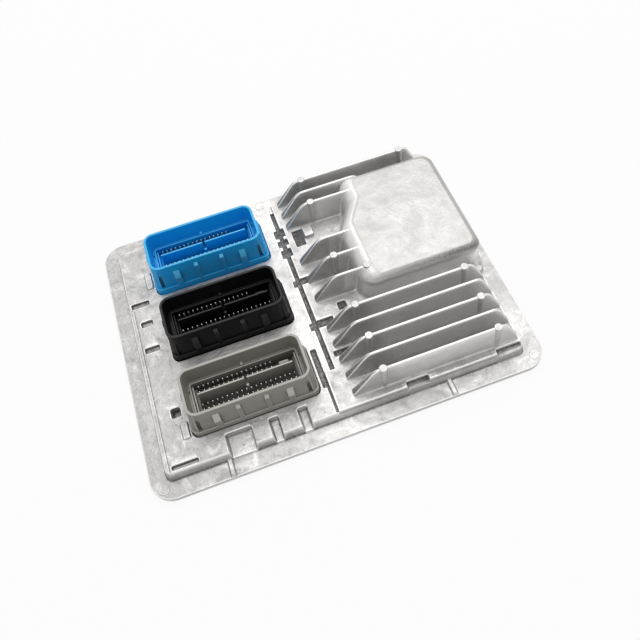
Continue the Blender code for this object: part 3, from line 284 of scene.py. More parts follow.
CHANNELS = [(CHANNEL_LEFT, CHANNEL_RIGHT, FIELD_TURN, DECK_FRONT + 135.6)]
CROSSINGS = [(CHANNEL_LEFT - 1.9, CHANNEL_RIGHT + 1.9, DECK_FRONT + a, DECK_FRONT + a + b)
             for a, b in ((100.6, 6), (109, 4.6), (115.6, 6.2))]
BRANCHES = [(CHANNEL_LEFT - 1.9, CHANNEL_RIGHT + reach, DECK_FRONT + a, DECK_FRONT + a + b)
            for a, b, reach in ((79.2, 4.4, 5.6), (49.3, 4.8, 9.4))]
FOOT_GROOVES = [(CHANNEL_LEFT - 4.7, CHANNEL_LEFT - 3.4, DECK_FRONT + 0.6, FIELD_TURN - 1)]
RIMS = [(DECK_LEFT - 4, DECK_LEFT + 2.3, DECK_FRONT - 4, DECK_FRONT + 98.6)]
WINDOWS = [(SOCKET_X - LIP_LENGTH / 2 - 0.5, SOCKET_X + LIP_LENGTH / 2 + 0.5,
            y - LIP_WIDTH / 2 - 0.5, y + LIP_WIDTH / 2 + 0.5) for y in SOCKETS.values()]
WINDOW_CORNER = 3.9

# Cuts: places, corner radius, level of the floor, edge profile and how much painted shade darkens the floor
CUTS = [(SLOTS, 0.8, DECK - 1.7, SHALLOW, 0.25), (SIDE_POCKETS, 0.8, DECK - 1.7, SHALLOW, 0.8),
        (EDGE_POCKETS, 1, DECK - 4.9, DEEP, 0.35), (BAYS, 0.9, DECK - 4.9, DEEP, -0.35),
        (FIN_BAYS, 0.8, DECK - 1.7, GROOVE, 0.15), (FIN_POCKETS, 0.8, FIELD - 1.7, SHALLOW, 1.3),
        (FOOT_GROOVES, 0.4, DECK - 0.7, GROOVE, 0.7), (CHANNELS, 0.6, DECK - 1.7, GROOVE, 1.35),
        (CROSSINGS, 0.6, DECK - 1.3, GROOVE, 1.2), (BRANCHES, 0.6, FIELD - 1.7, GROOVE, 1.2),
        (WINDOWS, WINDOW_CORNER, DECK - 3.4, WINDOW, 0.8)]
# Raised forms: places, corner radius, rise and edge profile
RAISED = [(MESAS, 0.9, 0.9, MESA), (FIN_MESAS, 0.6, 2.2, BOX), (RIMS, 1.5, 0.4, RIM)]
CUTS, RAISED = ([(place, *rest) for places, *rest in rows for place in places] for rows in (CUTS, RAISED))
# The outer wall: how much of its height is lost from the deck's edge (0) to the flange (1)
WALL_SHARES = ((-0.6, 0), (-0.4, 0.012), (-0.2, 0.05), (0, 0.13), (0.3, 0.34), (0.7, 0.68), (0.9, 0.86),
               (1, 0.93), (1.15, 0.965), (1.4, 0.992), (1.7, 1))


def deck_wall(x, y):
    """The deck's top and its drafted outer wall, down to the flange."""
    top = (DECK_LEFT, DECK_RIGHT, DECK_FRONT, DECK_BACK)
    foot = (DECK_LEFT - FLARE, DECK_RIGHT + FLARE, DECK_FRONT - FRONT_FLARE, DECK_BACK + FLARE)
    inner = rect_distance(x, y, top, DECK_CORNER)
    outer = rect_distance(x, y, foot, DECK_CORNER)
    between = np.where(inner <= 0, inner,
                       np.where(outer >= 0, 1 + outer, inner / np.maximum(inner - outer, 1e-6)))
    fine = np.linspace(-0.6, 1.7, 93)
    shares = np.interp(fine, *zip(*WALL_SHARES))
    shares = np.convolve(np.pad(shares, 3, mode="edge"), np.ones(7) / 7, mode="valid")
    return DECK - (DECK - FLANGE_TOP - 0.02) * np.interp(between, fine, shares)


def field_distance(x, y):
    """Distance from the higher field under the fins, negative inside it."""
    across = FIELD_LEFT - x + 1
    along = y - FIELD_TURN + 1
    corner = (np.hypot(np.maximum(across, 0), np.maximum(along, 0))
              + np.minimum(np.maximum(across, along), 0) - 1)
    left = np.minimum(CHANNEL_RIGHT - x, corner)
    rest = rect_distance(x, y, (-60, FIELD_RIGHT, FIELD_FRONT, FIELD_BACK), DECK_CORNER)
    return np.maximum(left, rest)


def deck_height(x, y):
    z = deck_wall(x, y)
    level = np.clip((z - FLANGE_TOP - 0.3) / (DECK - FLANGE_TOP - 0.6), 0, 1)
    z = z + STEP.share(field_distance(x, y)) * (FIELD - DECK)
    for place, radius, rise, edge in RAISED:
        z = z + edge.share(rect_distance(x, y, place, radius)) * rise * level
    for place, radius, floor, edge, _ in CUTS:
        z = np.minimum(z, z + (floor - z) * edge.share(rect_distance(x, y, place, radius)))
    return z


def deck_tone(x, y, z):
    """Painted light and shade on the deck: lighter on edges that stand out, as wear and painted highlight, and
    darker in what is cut in, as painted shade.
    """
    ring = sum(deck_height(x + a, y + b) for a, b in ((0.45, 0), (-0.45, 0), (0, 0.45), (0, -0.45))) / 4
    tone = np.clip((z - ring) / 0.22, -0.7, 1)
    # Cut edges lose their highlight, and each cut's floor gets its painted shade.
    for place, radius, _, edge, recess_shade in CUTS:
        share = edge.share(rect_distance(x, y, place, radius) + 0.15)
        tone = tone * (1 - 0.6 * share) - recess_shade * share
    # The field among the front and back fins gets painted shade, fading in along X from its left end.
    along = np.clip((x - 8) / 10, 0, 1)
    by_fins = (y < FRONT_FINS[-1] + 2) | (y > BACK_FINS[-1])
    tone = tone - 0.4 * along * by_fins * (field_distance(x, y) < -0.6)
    # Mesas lose most of their edge tone, and their tops get a slight painted highlight.
    for place in MESAS + FIN_MESAS:
        distance = rect_distance(x, y, place, 0.9)
        tone = tone * (1 - 0.55 * (distance < 1.2)) + 0.1 * MESA.share(distance)
    # The walls of bays, edge pockets and slots get painted shade, most on the far wall.
    for place in BAYS + EDGE_POCKETS + SLOTS:
        share = DEEP.share(rect_distance(x, y, place, 1) - 0.1)
        far = 0.35 + 0.65 * (y > (place[2] + place[3]) / 2)
        tone = tone - 3.4 * share * (1 - share) * far
    return tone


def lines_for(low, high, across, span_low, span_high):
    """Grid lines of a tile in one direction: at every edge's profile, and evenly between."""
    lines = [low, high, *np.arange(low, high, 5)]

    def edge_lines(pair, span, edge):
        if span[1] >= span_low - 1 and span[0] <= span_high + 1:
            for place, side in zip(pair, (-1, 1)):
                lines.extend(place + side * line for line in edge.lines)

    for place, _, _, edge, *_ in CUTS + RAISED:
        pair, span = (place[:2], place[2:]) if across else (place[2:], place[:2])
        edge_lines(pair, span, edge)
        if edge is WINDOW:
            for end, side in zip(pair, (1, -1)):
                lines.extend(end + side * step for step in (0.5, 0.9, 1.4, 2, 2.7, 3.5))
    if across:
        edge_lines((FIELD_LEFT, FIELD_RIGHT), (FRONT, FIELD_TURN), STEP)
        edge_lines((CHANNEL_RIGHT, FIELD_RIGHT), (FIELD_TURN, BACK), STEP)
        ends = ((DECK_LEFT, -1, FLARE), (DECK_RIGHT, 1, FLARE))
    else:
        edge_lines((FIELD_FRONT, FIELD_TURN), (FIELD_LEFT, CHANNEL_RIGHT), STEP)
        edge_lines((FIELD_FRONT, FIELD_BACK), (CHANNEL_RIGHT, RIGHT), STEP)
        ends = ((DECK_FRONT, -1, FRONT_FLARE), (DECK_BACK, 1, FLARE))
    for place, side, flare in ends:
        for share, _ in WALL_SHARES:
            step = share if share <= 0 else share * flare if share <= 1 else flare + share - 1
            lines.append(place + side * step)
        lines.extend(place - side * step for step in (0.9, 1.3, 1.8, 2.4, 3, 3.6))
    lines = np.unique(np.round([line for line in lines if low <= line <= high], 3))
    keep = [lines[0]]
    for line in lines[1:]:
        if line - keep[-1] >= 0.035:
            keep.append(line)
    keep[-1] = high
    return np.array(keep)


def deck_tile(low_x, high_x):
    """Points, quads, normals and tones of the deck between two places along X."""
    low_y = DECK_FRONT - FRONT_FLARE - 0.75
    high_y = DECK_BACK + FLARE + 0.75
    xs = lines_for(low_x, high_x, True, low_y, high_y)
    ys = lines_for(low_y, high_y, False, low_x, high_x)
    x, y = np.meshgrid(xs, ys, indexing="ij")
    z = deck_height(x, y)
    reach = 0.012
    normal = np.zeros(x.shape + (3,))
    for step_x in (-reach, reach):
        slope_x = (deck_height(x + step_x, y) - z) / step_x
        for step_y in (-reach, reach):
            slope_y = (deck_height(x, y + step_y) - z) / step_y
            one = np.stack((-slope_x, -slope_y, np.ones_like(z)), axis=-1)
            normal += one / np.linalg.norm(one, axis=-1, keepdims=True)
    normal /= np.linalg.norm(normal, axis=-1, keepdims=True)
    # Left out is what lies well inside the windows or under the dome
    hidden = [(place, WINDOW_CORNER, -1.2) for place in WINDOWS]
    hidden += [((DOME_LEFT + 12, DOME_RIGHT, DOME_FRONT, DOME_BACK), 5, -1.5),
               ((DOME_LEFT, DOME_RIGHT, DOME_FRONT, 24), 5, -1.5)]
    middle_x, middle_y = np.meshgrid((xs[1:] + xs[:-1]) / 2, (ys[1:] + ys[:-1]) / 2, indexing="ij")
    keep = np.ones(middle_x.shape, dtype=bool)
    for place, radius, limit in hidden:
        keep &= rect_distance(middle_x, middle_y, place, radius) >= limit
    index = np.arange(x.size).reshape(x.shape)
    quads = np.stack((index[:-1, :-1], index[1:, :-1], index[1:, 1:], index[:-1, 1:]), axis=-1)[keep]
    return (np.stack((x, y, z), axis=-1).reshape(-1, 3), quads, normal.reshape(-1, 3),
            deck_tone(x, y, z).reshape(-1))


def deck_piece(name, tiles, look):
    """A piece of the deck from neighbouring tiles, with its exact normals."""
    shell, normals = Shell(), []
    for tile in tiles:
        points, quads, exact, tones = deck_tile(*tile)
        used = np.unique(quads)
        order = np.full(len(points), -1)
        order[used] = np.arange(len(used)) + len(shell.points)
        shell.points.extend(points[used])
        shell.faces.extend(order[quads].tolist())
        shell.tones.extend(tones[used])
        normals.extend(exact[used].tolist())
    mesh = shell.mesh(name)
    mesh.shade_smooth()
    mesh.normals_split_custom_set_from_vertices(normals)
    return dressed(name, mesh, shell.tones, look)


# ---- flange, dome and fins

def flange_outline(inset):
    return rectangle(LEFT + inset, RIGHT - inset, FRONT + inset, BACK - inset, FLANGE_CORNER - inset, 14)


def flange_piece(look):
    """The thin edge all round, with its rounded rim, and the low forms that stand on it."""
    shell = Shell()
    # Tones paint light: highlights on the rim's rounded edge and on the bosses' edges, painted shade under the
    # rim, at the bosses' feet and on the ribs' sides.
    rim = levels(flange_outline, (
        (0.5, FLANGE_BOTTOM, -1), (0.1, 2, -0.9), (0, 2.25, 0), (0, 2.75, 0.2), (0.07, 2.98, 0.8),
        (0.22, 3.12, 0.9), (0.45, 3.18, 0.5), (0.8, FLANGE_TOP, 0)))
    hole = rectangle(*HOLLOW, 3, 14)
    shell.tube([*rim, (hole, FLANGE_TOP, 0), (hole, FLANGE_BOTTOM, 0)])
    corners = [(x, y) for x in (LEFT + 6.2, RIGHT - 6.2) for y in (FRONT + 6.2, BACK - 6.2)]
    for x, y in corners + [(-7, BACK - 4.2)]:
        shell.stack(levels(lambda size: circle(x, y, size), (
            (5.5, 3.1, -0.5), (5.2, 3.24, -0.6), (5, 3.42, 0.6), (4.8, 3.5, 0.7), (4.4, 3.5, 0.1))))
    profile = ((-1.75, 0), (-1.4, 0.2), (-1.1, 0.75), (-0.8, 1), (0.8, 1), (1.1, 0.75), (1.4, 0.2), (1.75, 0))
    for x in (DECK_LEFT + 30.5, DECK_LEFT + 147.5):
        rows = [[(x + side, y, FLANGE_TOP - 0.05 + rise * share) for side, share in profile] for y, rise in
                ((FRONT + 0.3, 0), (FRONT + 0.5, 0.5), (FRONT + 1.1, 0.9), (FRONT + 2, 1),
                 (DECK_FRONT - 1.6, 1), (DECK_FRONT - 0.4, 2.4))]
        shell.grid(rows, [[-0.6, -0.4, 0.2, 0.3, 0.3, 0.2, -0.4, -0.6]] * len(rows))
    return shell.piece("cover_flange", look)


def dome_outline(left, right, ends, tight=1):
    """The dome's plan, drawn in by a distance on each side, its corners tighter towards the top."""
    step = DOME_LEFT + DOME_STEP + left
    corners = [(DOME_LEFT + left, DOME_FRONT + ends), (DOME_RIGHT - right, DOME_FRONT + ends),
               (DOME_RIGHT - right, DOME_BACK - ends), (step, DOME_BACK - ends), (step, BACK_FINS[-1] - 7.5),
               (DOME_LEFT + left, MIDDLE_FINS[-1] + 3.2)]
    return rounded(corners, [radius * (1 - 0.5 * tight) for radius in (9, 9, 12, 6, 11, 11)], 9)


def smooth(value, low, high):
    share = min(1, max(0, (value - low) / (high - low)))
    return share * share * (3 - 2 * share)


def foot_reach(z, ground, radius):
    """How far a wall's foot fillet stands out at a height."""
    rise = min(max(z - ground, 0), radius)
    return radius - sqrt(radius * radius - (radius - rise) ** 2)


def dome_reaches(z):
    """How far the left wall, and the other walls, are drawn in at a height."""
    draft = 1.6 * (z - FIELD) / (DOME_TOP - FIELD)
    rise = min(1, max(0, (z - (DOME_TOP - 9)) / 9))
    left = 9 * (1 - sqrt(1 - rise * rise)) + draft
    bend = min(4, max(0, z - (DOME_TOP - 4)))
    side = 4 - sqrt(16 - bend * bend) + draft
    return left, side


def dome_ring(z):
    left, side = dome_reaches(z)
    foot = foot_reach(z, FIELD, 2)
    return dome_outline(left - foot, side - foot_reach(z, FLANGE_TOP, 2.4), side - foot,
                        smooth(z, 19, 26.5))


def dome_painted_light(x, y, z):
    """Painted light and shade: painted shade in a band under the top's front edge, a painted highlight on the
    front wall below it, painted shade on the right shoulder and painted light on the left side.
    """
    front = 1 - smooth(y, DOME_FRONT + 2, DOME_FRONT + 9)
    right = smooth(x, DOME_RIGHT - 9, DOME_RIGHT - 4)
    step = DOME_STEP * smooth(y, 25, 42)
    left = 1 - smooth(x, DOME_LEFT + step + 10, DOME_LEFT + step + 15)
    band = np.interp(z, (10, 13, 17, 20, 22, 23.4, 24.6, 25.8, 26.6, 27),
                     (0.3, 0.6, 0.9, 1, 0.7, 0, -0.5, -0.8, -0.7, -0.3))
    shoulder = np.interp(z, (22, 24, 26.9, 27), (0.1, -0.1, -0.3, -0.1))
    return (front * band * (0.6 + 0.4 * smooth(x, DOME_LEFT + 18, DOME_LEFT + 38))
            + right * (1 - front) * shoulder + left * (1 - front) * 0.5 * (z < 26.9))


def dome_piece(look):
    rings = [(dome_ring(z), z, z) for z in
             (FLANGE_TOP, 3.4, 3.8, 4.4, 5.2, 6.2, 8, 9.9, 10.05, 10.25, 10.6, 11.1, 11.6, 12, 13.5, 15.5, 17.5,
              18.5, 19.5, 20.5, 21.4, 22.2, 23, 23.5, 24, 24.4, 24.8, 25.2, 25.6, 25.95, 26.25)]
    for z, inset in ((26.5, 3.67), (26.7, 3.99)):
        rings.append((dome_outline(dome_reaches(z)[0], inset, inset), z, z))
    # The flat top ends in a crisp edge, a little outside where the shoulder would run level
    left, side = dome_reaches(DOME_TOP)
    for inset, z, level in ((-1.2, 26.9, 26.8), (-1.05, DOME_TOP - 0.01, 26.95), (-0.4, DOME_TOP, DOME_TOP)):
        rings.append((dome_outline(left + inset * 0.6, side + inset, side + inset), z, level))
    rings = [(ring, z, [dome_painted_light(x, y, level) for x, y in ring]) for ring, z, level in rings]
    rings.append((dome_outline(left + 1.4, side + 1.4, side + 1.4), DOME_TOP, 0))
    return Shell().stack(rings, bottom=False).piece("cover_dome", look, sharp=60)


def dome_left_edge(y, z):
    """Where the dome's left side is, at a place along it and a height."""
    outline = dome_ring(min(z, DOME_TOP - 0.05))
    crossings = []
    for (ax, ay), (bx, by) in zip(outline, outline[1:] + outline[:1]):
        if (ay - y) * (by - y) <= 0 and ay != by:
            crossings.append(ax + (bx - ax) * (y - ay) / (by - ay))
    return min(crossings) if crossings else DOME_LEFT + DOME_STEP + 12


def rounded_profile(corners, radii, steps=10):
    """An open line through points, its inner corners rounded."""
    points = [corners[0]]
    for i, radius in enumerate(radii):
        here, back, ahead, half = corner(*corners[i:i + 3])
        reach = radius / tan(half)
        start, end = here + back * reach, here + ahead * reach
        for t in (step / steps for step in range(steps + 1)):
            points.append(tuple(start * (1 - t) ** 2 + here * (2 * t * (1 - t)) + end * t ** 2))
    return [*points, corners[-1]]


QUARTERS = (0.25, 0.5, 0.75, 1)


def fin_columns(tail, joins_dome):
    """Where a fin's sections stand: places along X, then shares of the way and distances to the dome's side."""
    columns = [("x", FIN_NOSE + d) for d in (
        0, 0.1, 0.3, 0.6, 1, 1.8, 3.2, 4.8, 6.4, 7.6, 8.5, 9.3, 10.1, 10.9, 11.7, 12.5, 13.3, 14.1, 15, 16)]
    if joins_dome:
        columns += [("share", share) for share in QUARTERS]
        columns += [("near", FIN_FILLET * t) for t in (0.75, 0.55, 0.38, 0.24, 0.13, 0.05, 0, -0.8)]
    else:
        columns += [("x", x) for x in np.arange(FIN_NOSE + 20, tail - 14, 6)]
        columns += [("x", tail - d) for d in (
            13, 11.5, 10.3, 9.4, 8.6, 7.8, 7, 6.2, 5.4, 4.6, 3.6, 2.6, 1.7, 1, 0.6, 0.3, 0.1, 0)]
    return columns


def fin_width(z):
    """Half of a fin's width at a height, without its fillets."""
    return 0.85 + 1.1 * (FIN_TOP - z) / 16


def fin_section(kind, value, x, top, tail):
    """One section from foot to foot over the ridge: places across, heights and tones."""
    flare = joint = 0
    if kind == "near":
        flare = FIN_FILLET - sqrt(FIN_FILLET ** 2 - (FIN_FILLET - max(value, 0)) ** 2)
        joint = 0.9 * (0.05 < value / FIN_FILLET < 0.6)
    ends = min(x - FIN_NOSE, tail - x if kind == "x" else 9)
    tuck = 0 if ends >= 0.9 else 0.9 * (1 - sqrt(max(0, 1 - (1 - ends / 0.9) ** 2)))
    foot = min(1.2, 0.45 * (top - FIELD))
    wide = fin_width(top) - tuck + flare
    edge = min(0.42 + 0.25 * min(1, (top - FIELD) / 14), wide * 0.8)
    flat = wide - flare * 0.6 - edge
    high = top + min(flare * 0.5, 0.6)
    # Tones paint light: painted shade at the foot, on the nose's sides and on the sloping ridge near the nose,
    # painted light on the other sides, and painted highlights on the ridge's rounded edges and along the fillet
    # at the dome.
    slope = top < FIN_TOP - 0.4
    ridge = 0.35 if not slope else -0.65 if x < FIN_NOSE + 13 else -0.15
    side = 0.42 - 0.75 * (1 - smooth(x, FIN_NOSE + 6, FIN_NOSE + 30)) * (kind == "x")
    half = []
    for share in (0, 0.2, 0.45, 0.7, 1):
        angle = share * pi / 2
        z = FIELD - 0.03 + foot * (1 - cos(angle))
        half.append((fin_width(z) - tuck + flare + foot * (1 - sin(angle)), z,
                     -0.3 + 0.6 * share + joint * 0.5))
    for share in QUARTERS:
        z = FIELD + foot + (top - edge - FIELD - foot) * share
        half.append((fin_width(z) - tuck + flare * (1 - 0.6 * share), z, side + 0.1 * share + joint * 0.6))
    for share in QUARTERS:
        angle = share * pi / 2
        half.append((flat + edge * cos(angle), high - edge + edge * sin(angle),
                     (0.95 if slope else 0.6) * (0.6 + 0.4 * share)))
    half += [(flat * 0.75, high, ridge), (0, high, ridge)]
    return [(-w, z, tone) for w, z, tone in half] + half[-2::-1]


def fin(shell, y, tail, tail_slope, joins_dome):
    """One cooling fin: rounded ridge, sloping nose with a knee, fillets at its foot and at the dome."""
    low = FIELD + 1.2
    line = rounded_profile([(FIN_NOSE, FIELD + 0.3), (FIN_NOSE, low), (FIN_NOSE + 12, FIN_TOP),
                            (tail - tail_slope, FIN_TOP), (tail, low), (tail, FIELD + 0.3)], [0.7, 7, 5, 0.7])
    # np.interp needs places that rise, also where the line is upright
    line_x = [point[0] + i * 1e-5 for i, point in enumerate(line)]
    line_z = [point[1] for point in line]
    joint_start = FIN_NOSE + 16
    rows, tones = [], []
    for kind, value in fin_columns(tail, joins_dome):
        x = value if kind == "x" else FIN_NOSE + 17
        section = fin_section(kind, value, x, float(np.interp(x, line_x, line_z)), tail)
        row = []
        for w, z, _ in section:
            place = x
            if kind == "share":
                place = joint_start + (dome_left_edge(y, z) - FIN_FILLET - joint_start) * value
            elif kind == "near":
                place = dome_left_edge(y, z) - value
            row.append((place, y + w, z))
        rows.append(row)
        tones.append([tone for _, _, tone in section])
    first, last = shell.grid(rows, tones)
    shell.faces.append(tuple(first))
    if not joins_dome:
        shell.faces.append(tuple(last[::-1]))


def fins_piece(look):
    shell = Shell()
    for y in FRONT_FINS + BACK_FINS[:1]:
        fin(shell, y, FIN_TAIL, 7.5, False)
    for y in MIDDLE_FINS + BACK_FINS[2:]:
        fin(shell, y, 90, 12, True)
    fin(shell, BACK_FINS[1], 61.5, 12, False)
    return shell.piece("cover_fins", look, sharp=75)


def pad(shell, x, y, size, top):
    """A round pad down a fin's side, with a slightly rounded top and a filleted foot."""
    # Tones paint light: painted shade at the foot and a painted highlight on the top's rounded edge.
    table = [(2, FIELD - 0.05, -0.4), (1.1, FIELD + 0.12, -0.4), (0.5, FIELD + 0.4, -0.3)]
    if top - FIELD >= 4:
        table += [(0.2, FIELD + 0.9, -0.15), (0.1, FIELD + 2, 0.1)]
    table += [(0, top - 0.45, 0.1), (-0.15, top - 0.2, -0.2), (-0.5, top - 0.03, 0.1), (-1, top, 0.25),
              (-2.6, top - 0.02, 0.05)]
    shell.stack(levels(lambda wider: circle(x, y, size + wider, 36), table), bottom=False)


def pads_piece(look):
    shell = Shell()
    near, far = FIN_NOSE + 16.7, FIN_TAIL - 12.2
    places = [(x, y) for y in FRONT_FINS[::2] for x in (near, far)]
    places += [(near, BACK_FINS[0]), (far, BACK_FINS[0]), (near, BACK_FINS[2]), (near, MIDDLE_FINS[1])]
    for x, y in places:
        pad(shell, x, y, 4.4, FIN_TOP + 0.3)
    pad(shell, FIELD_RIGHT - 1.15, FRONT_FINS[-1] + 4.95, 4.6, FIELD + 2)
    pad(shell, DOME_LEFT + 7.3, MIDDLE_FINS[0], 4.4, DOME_TOP)
    return shell.piece("cover_pads", look, sharp=60)


# ---- sockets

def wall_lean(z):
    """How far the wall stands outside its top's outline at a height."""
    return 0.7 * (SOCKET_TOP - z) / (SOCKET_TOP - LIP_TOP)


def wall_outline(z, inset, y):
    grow = 2 * (wall_lean(z) - inset)
    return centred(SOCKET_X, y, WALL_LENGTH + grow, WALL_WIDTH + grow, WALL_CORNER - inset, 9)


def wall_front(z, y):
    return y - WALL_WIDTH / 2 - wall_lean(z)


def well(y, inset, steps=9):
    return centred(SOCKET_X, y + WELL_OFFSET, WELL_LENGTH - 2 * inset, WELL_WIDTH - 2 * inset, 1, steps)


def shroud_shell(y):
    """The socket's wall from its lip over the rim and down into the well, closed round the bottom."""
    def lip(inset):
        return centred(SOCKET_X, y, LIP_LENGTH - 2 * inset, LIP_WIDTH - 2 * inset, LIP_CORNER, 9)

    # Tones paint light: painted highlights on the lip's and rim's rounded edges and on the well's collar,
    # painted shade at the wall's foot, at the ledge and down into the well.
    rings = levels(lip, (
        (0, ON_BOARD, -0.3), (0, LIP_TOP - 0.45, 0.2), (0.06, LIP_TOP - 0.2, 0.6), (0.25, LIP_TOP - 0.03, 0.7),
        (0.5, LIP_TOP, 0.2)))
    rings += [(wall_outline(z, inset, y), z, tone) for inset, z, tone in (
        (-0.25, LIP_TOP, -0.7), (0, LIP_TOP + 0.35, -0.2), (0, LIP_TOP + 0.45, -0.1), (0, 26.6, 0),
        (0, 27.9, 0))]
    rings += levels(lambda inset: wall_outline(SOCKET_TOP, inset, y), (
        (0.03, 28.08, 0.5), (0.13, 28.22, 0.8), (0.35, SOCKET_TOP, 0.6), (1.05, SOCKET_TOP, 0.6),
        (1.27, 28.22, 0.8), (1.37, 28.08, 0.5), (1.4, 27.9, 0), (1.88, LEDGE + 0.5, -0.4),
        (1.98, LEDGE + 0.15, -0.6), (2.25, LEDGE, -0.4)))
    rings += levels(lambda inset: well(y, inset), (
        (-0.75, LEDGE, -0.2), (-0.7, LEDGE + 0.35, 0.4), (-0.55, LEDGE + 0.45, 0.8), (-0.2, LEDGE + 0.45, 0.8),
        (-0.03, LEDGE + 0.35, 0.3), (0, LEDGE + 0.1, -0.2), (0, LEDGE - 2, -0.5), (0, ON_BOARD, -1.2)))
    return Shell().tube(rings)


def along_x(shell, profile, left, right, tones, bevel=0.24):
    """A bar along X of a (y, z) profile, its end edges bevelled. The profile runs clockwise from +X."""
    centre_y, centre_z = (sum(places) / len(profile) for places in zip(*profile))
    inner = []
    for y, z in profile:
        length = sqrt((y - centre_y) ** 2 + (z - centre_z) ** 2)
        inner.append((y - (y - centre_y) / length * bevel, z - (z - centre_z) / length * bevel))
    sections = ((left, inner), (left + bevel * 0.4, profile), (left + bevel * 1.6, profile),
                (right - bevel * 1.6, profile), (right - bevel * 0.4, profile), (right, inner))
    # Tones paint light: painted highlights on the bevelled end edges and painted shade on the end faces, darker
    # at the right end.
    edge = [tone + 0.55 for tone in tones]
    shell.loft([[(x, y, z) for y, z in line] for x, line in sections], [-0.7, edge, tones, tones, edge, -1.1])


def add_ramps(shell, y):
    """Two latch ramps and two smaller guide ribs on the front wall."""
    lip = y - LIP_WIDTH / 2
    for width, reach, drop, ramp, spacing in ((3.4, 2.5, 4.9, 3.6, 37.4), (2.3, 1.6, 3.2, 1, 14.4)):
        top = SOCKET_TOP - drop
        knee = top - ramp
        wall = wall_front(top, y)
        profile = [(wall + 0.8, FORM_FOOT), (wall + 0.8, top), (wall - 0.05, top), (wall - reach, knee),
                   (wall - reach - 0.05, knee - 0.7),
                   (wall_front(knee, y) - reach * 0.62, knee - ramp / 2 - 1.4),
                   (lip + 0.25, LIP_TOP + 0.4), (lip - 0.12, LIP_TOP - 0.5), (lip - 0.12, FORM_FOOT)]
        for x in (SOCKET_X - spacing / 2, SOCKET_X + spacing / 2):
            # Tones paint light: painted highlights on the ramp's top and sloping faces.
            along_x(shell, profile, x - width / 2, x + width / 2, (0, 0.8, 0.85, 0.7, 0.25, 0.1, 0.1, 0.1, 0))


def add_ears(shell, y):
    """The ears at the front corners, fading out towards the top, with a shallow gap in front of each, painted
    dark as shade.
    """
    span = EAR_TOP - FORM_FOOT
    for side in (-1, 1):
        rows, tones = [], []
        for t in (0, 0.05, 0.2, 0.4, 0.6, 0.8, 0.93, 1):
            z = FORM_FOOT + span * t
            reach = 1.25 * (1 - max(t, (LIP_TOP - FORM_FOOT) / span)) ** 0.8
            face = wall_front(max(z, LIP_TOP), y)
            centre_x = SOCKET_X + side * (y - face + (WALL_LENGTH - WALL_WIDTH) / 2 - WALL_CORNER)
            # The gap's points get painted shade, and the ear's edge a painted highlight.
            gap = -1.7 if 0.1 < t < 0.7 else -0.4
            row, shades = [], []
            for turn, push, shade in (
                    (8, 0, 0), (18, 0.5 * reach, 0), (28, reach, 0), (40, reach, 0), (52, reach, 0.2),
                    (61, reach, 0.7), (62, 0.04, gap), (70, 0.05, gap), (79, 0.05, gap), (81, -0.3, 0)):
                angle, radius = radians(turn), WALL_CORNER + push
                row.append((centre_x + side * radius * cos(angle), face + WALL_CORNER - radius * sin(angle), z))
                shades.append(shade)
            rows.append(row[::-side])
            tones.append(shades[::-side])
        shell.faces.append(tuple(shell.grid(rows, tones)[1]))


def add_small_forms(shell, y):
    """The catch on the left end, the key at the back and the rimmed marks of the two core holes, their middles
    painted dark as the shade in a hole.
    """
    left = SOCKET_X - WALL_LENGTH / 2
    shell.block(left - 1.5, left + 0.8, y + 0.5, y + 4.5, SOCKET_TOP - 9.8, SOCKET_TOP - 6.8, 0.3, 0.1)
    back = y + WALL_WIDTH / 2 - 1.4
    shell.block(SOCKET_X - 0.75, SOCKET_X + 0.75, back - 1.9, back + 0.6, LEDGE - 0.2, LEDGE + 1.5,
                0.2, 0.2, 1)
    for x in (SOCKET_X - 29.2, SOCKET_X + 29.2):
        shell.stack([(centred(x, y + 5.2, size, size, 0.3, 2), LEDGE + rise, tone) for size, rise, tone in
                     ((2.3, -0.1, 0), (2.25, 0.1, 0.2), (2.1, 0.16, 0.5), (1.7, 0.16, 0.2), (1.5, 0.08, -1.6),
                      (1.4, 0.02, -1.6))])


# On the carrier, from the well's middle: left, right, front, back, top, bevel, tone and the top face's tone, a
# painted highlight where it is high
DIVIDER = [(left, right, -0.5, 0.5, 23, 0.22, 0, 1) for left, right in ((-24.5, -0.6), (0.6, 24.5))]
CHEEKS = [form for side in (-1, 1) for form in
          ((side * 26.15 - 0.95, side * 26.15 + 0.95, -7.4, 7.4, 14, 0.2, 0, None),
           (side * 26.65 - 0.4, side * 26.65 + 0.4, -7.4, 7.4, 17.6, 0.15, 0, 0.8))]
KEY = (-0.65, 0.65, -3.2, -1.9, 20, 0.2, 0.1, 1)
CODING_RIB = (17.8, 22.8, 3.8, 5.4, 17, 0.3, 0, 0.9)


def carrier_shell(y):
    """The moulded block that the pins stand in, with divider, cheeks, key and coding rib."""
    shell = Shell()
    # The well's floor and the pin rows' blocks get painted shade.
    shell.stack([(well(y, inset, 4), z, -1) for inset, z in
                 ((0.3, ON_BOARD), (0.3, PIN_FLOOR - 0.2), (0.36, PIN_FLOOR - 0.05), (0.5, PIN_FLOOR))])
    middle, low = y + WELL_OFFSET, PIN_FLOOR - 0.5
    for left, right, front, back, top, bevel, tone, cap in [*DIVIDER, *CHEEKS, KEY, CODING_RIB]:
        shell.block(SOCKET_X + left, SOCKET_X + right, middle + front, middle + back, low, top, bevel, tone,
                    cap)
    for offset, count in PIN_ROWS:
        shell.block(PIN_LEFT - 0.9, PIN_LEFT + (count - 1) * PIN_PITCH + 0.9, middle + offset - 0.75,
                    middle + offset + 0.75, low, PIN_FLOOR + 0.5, 0.15, -0.9)
    return shell


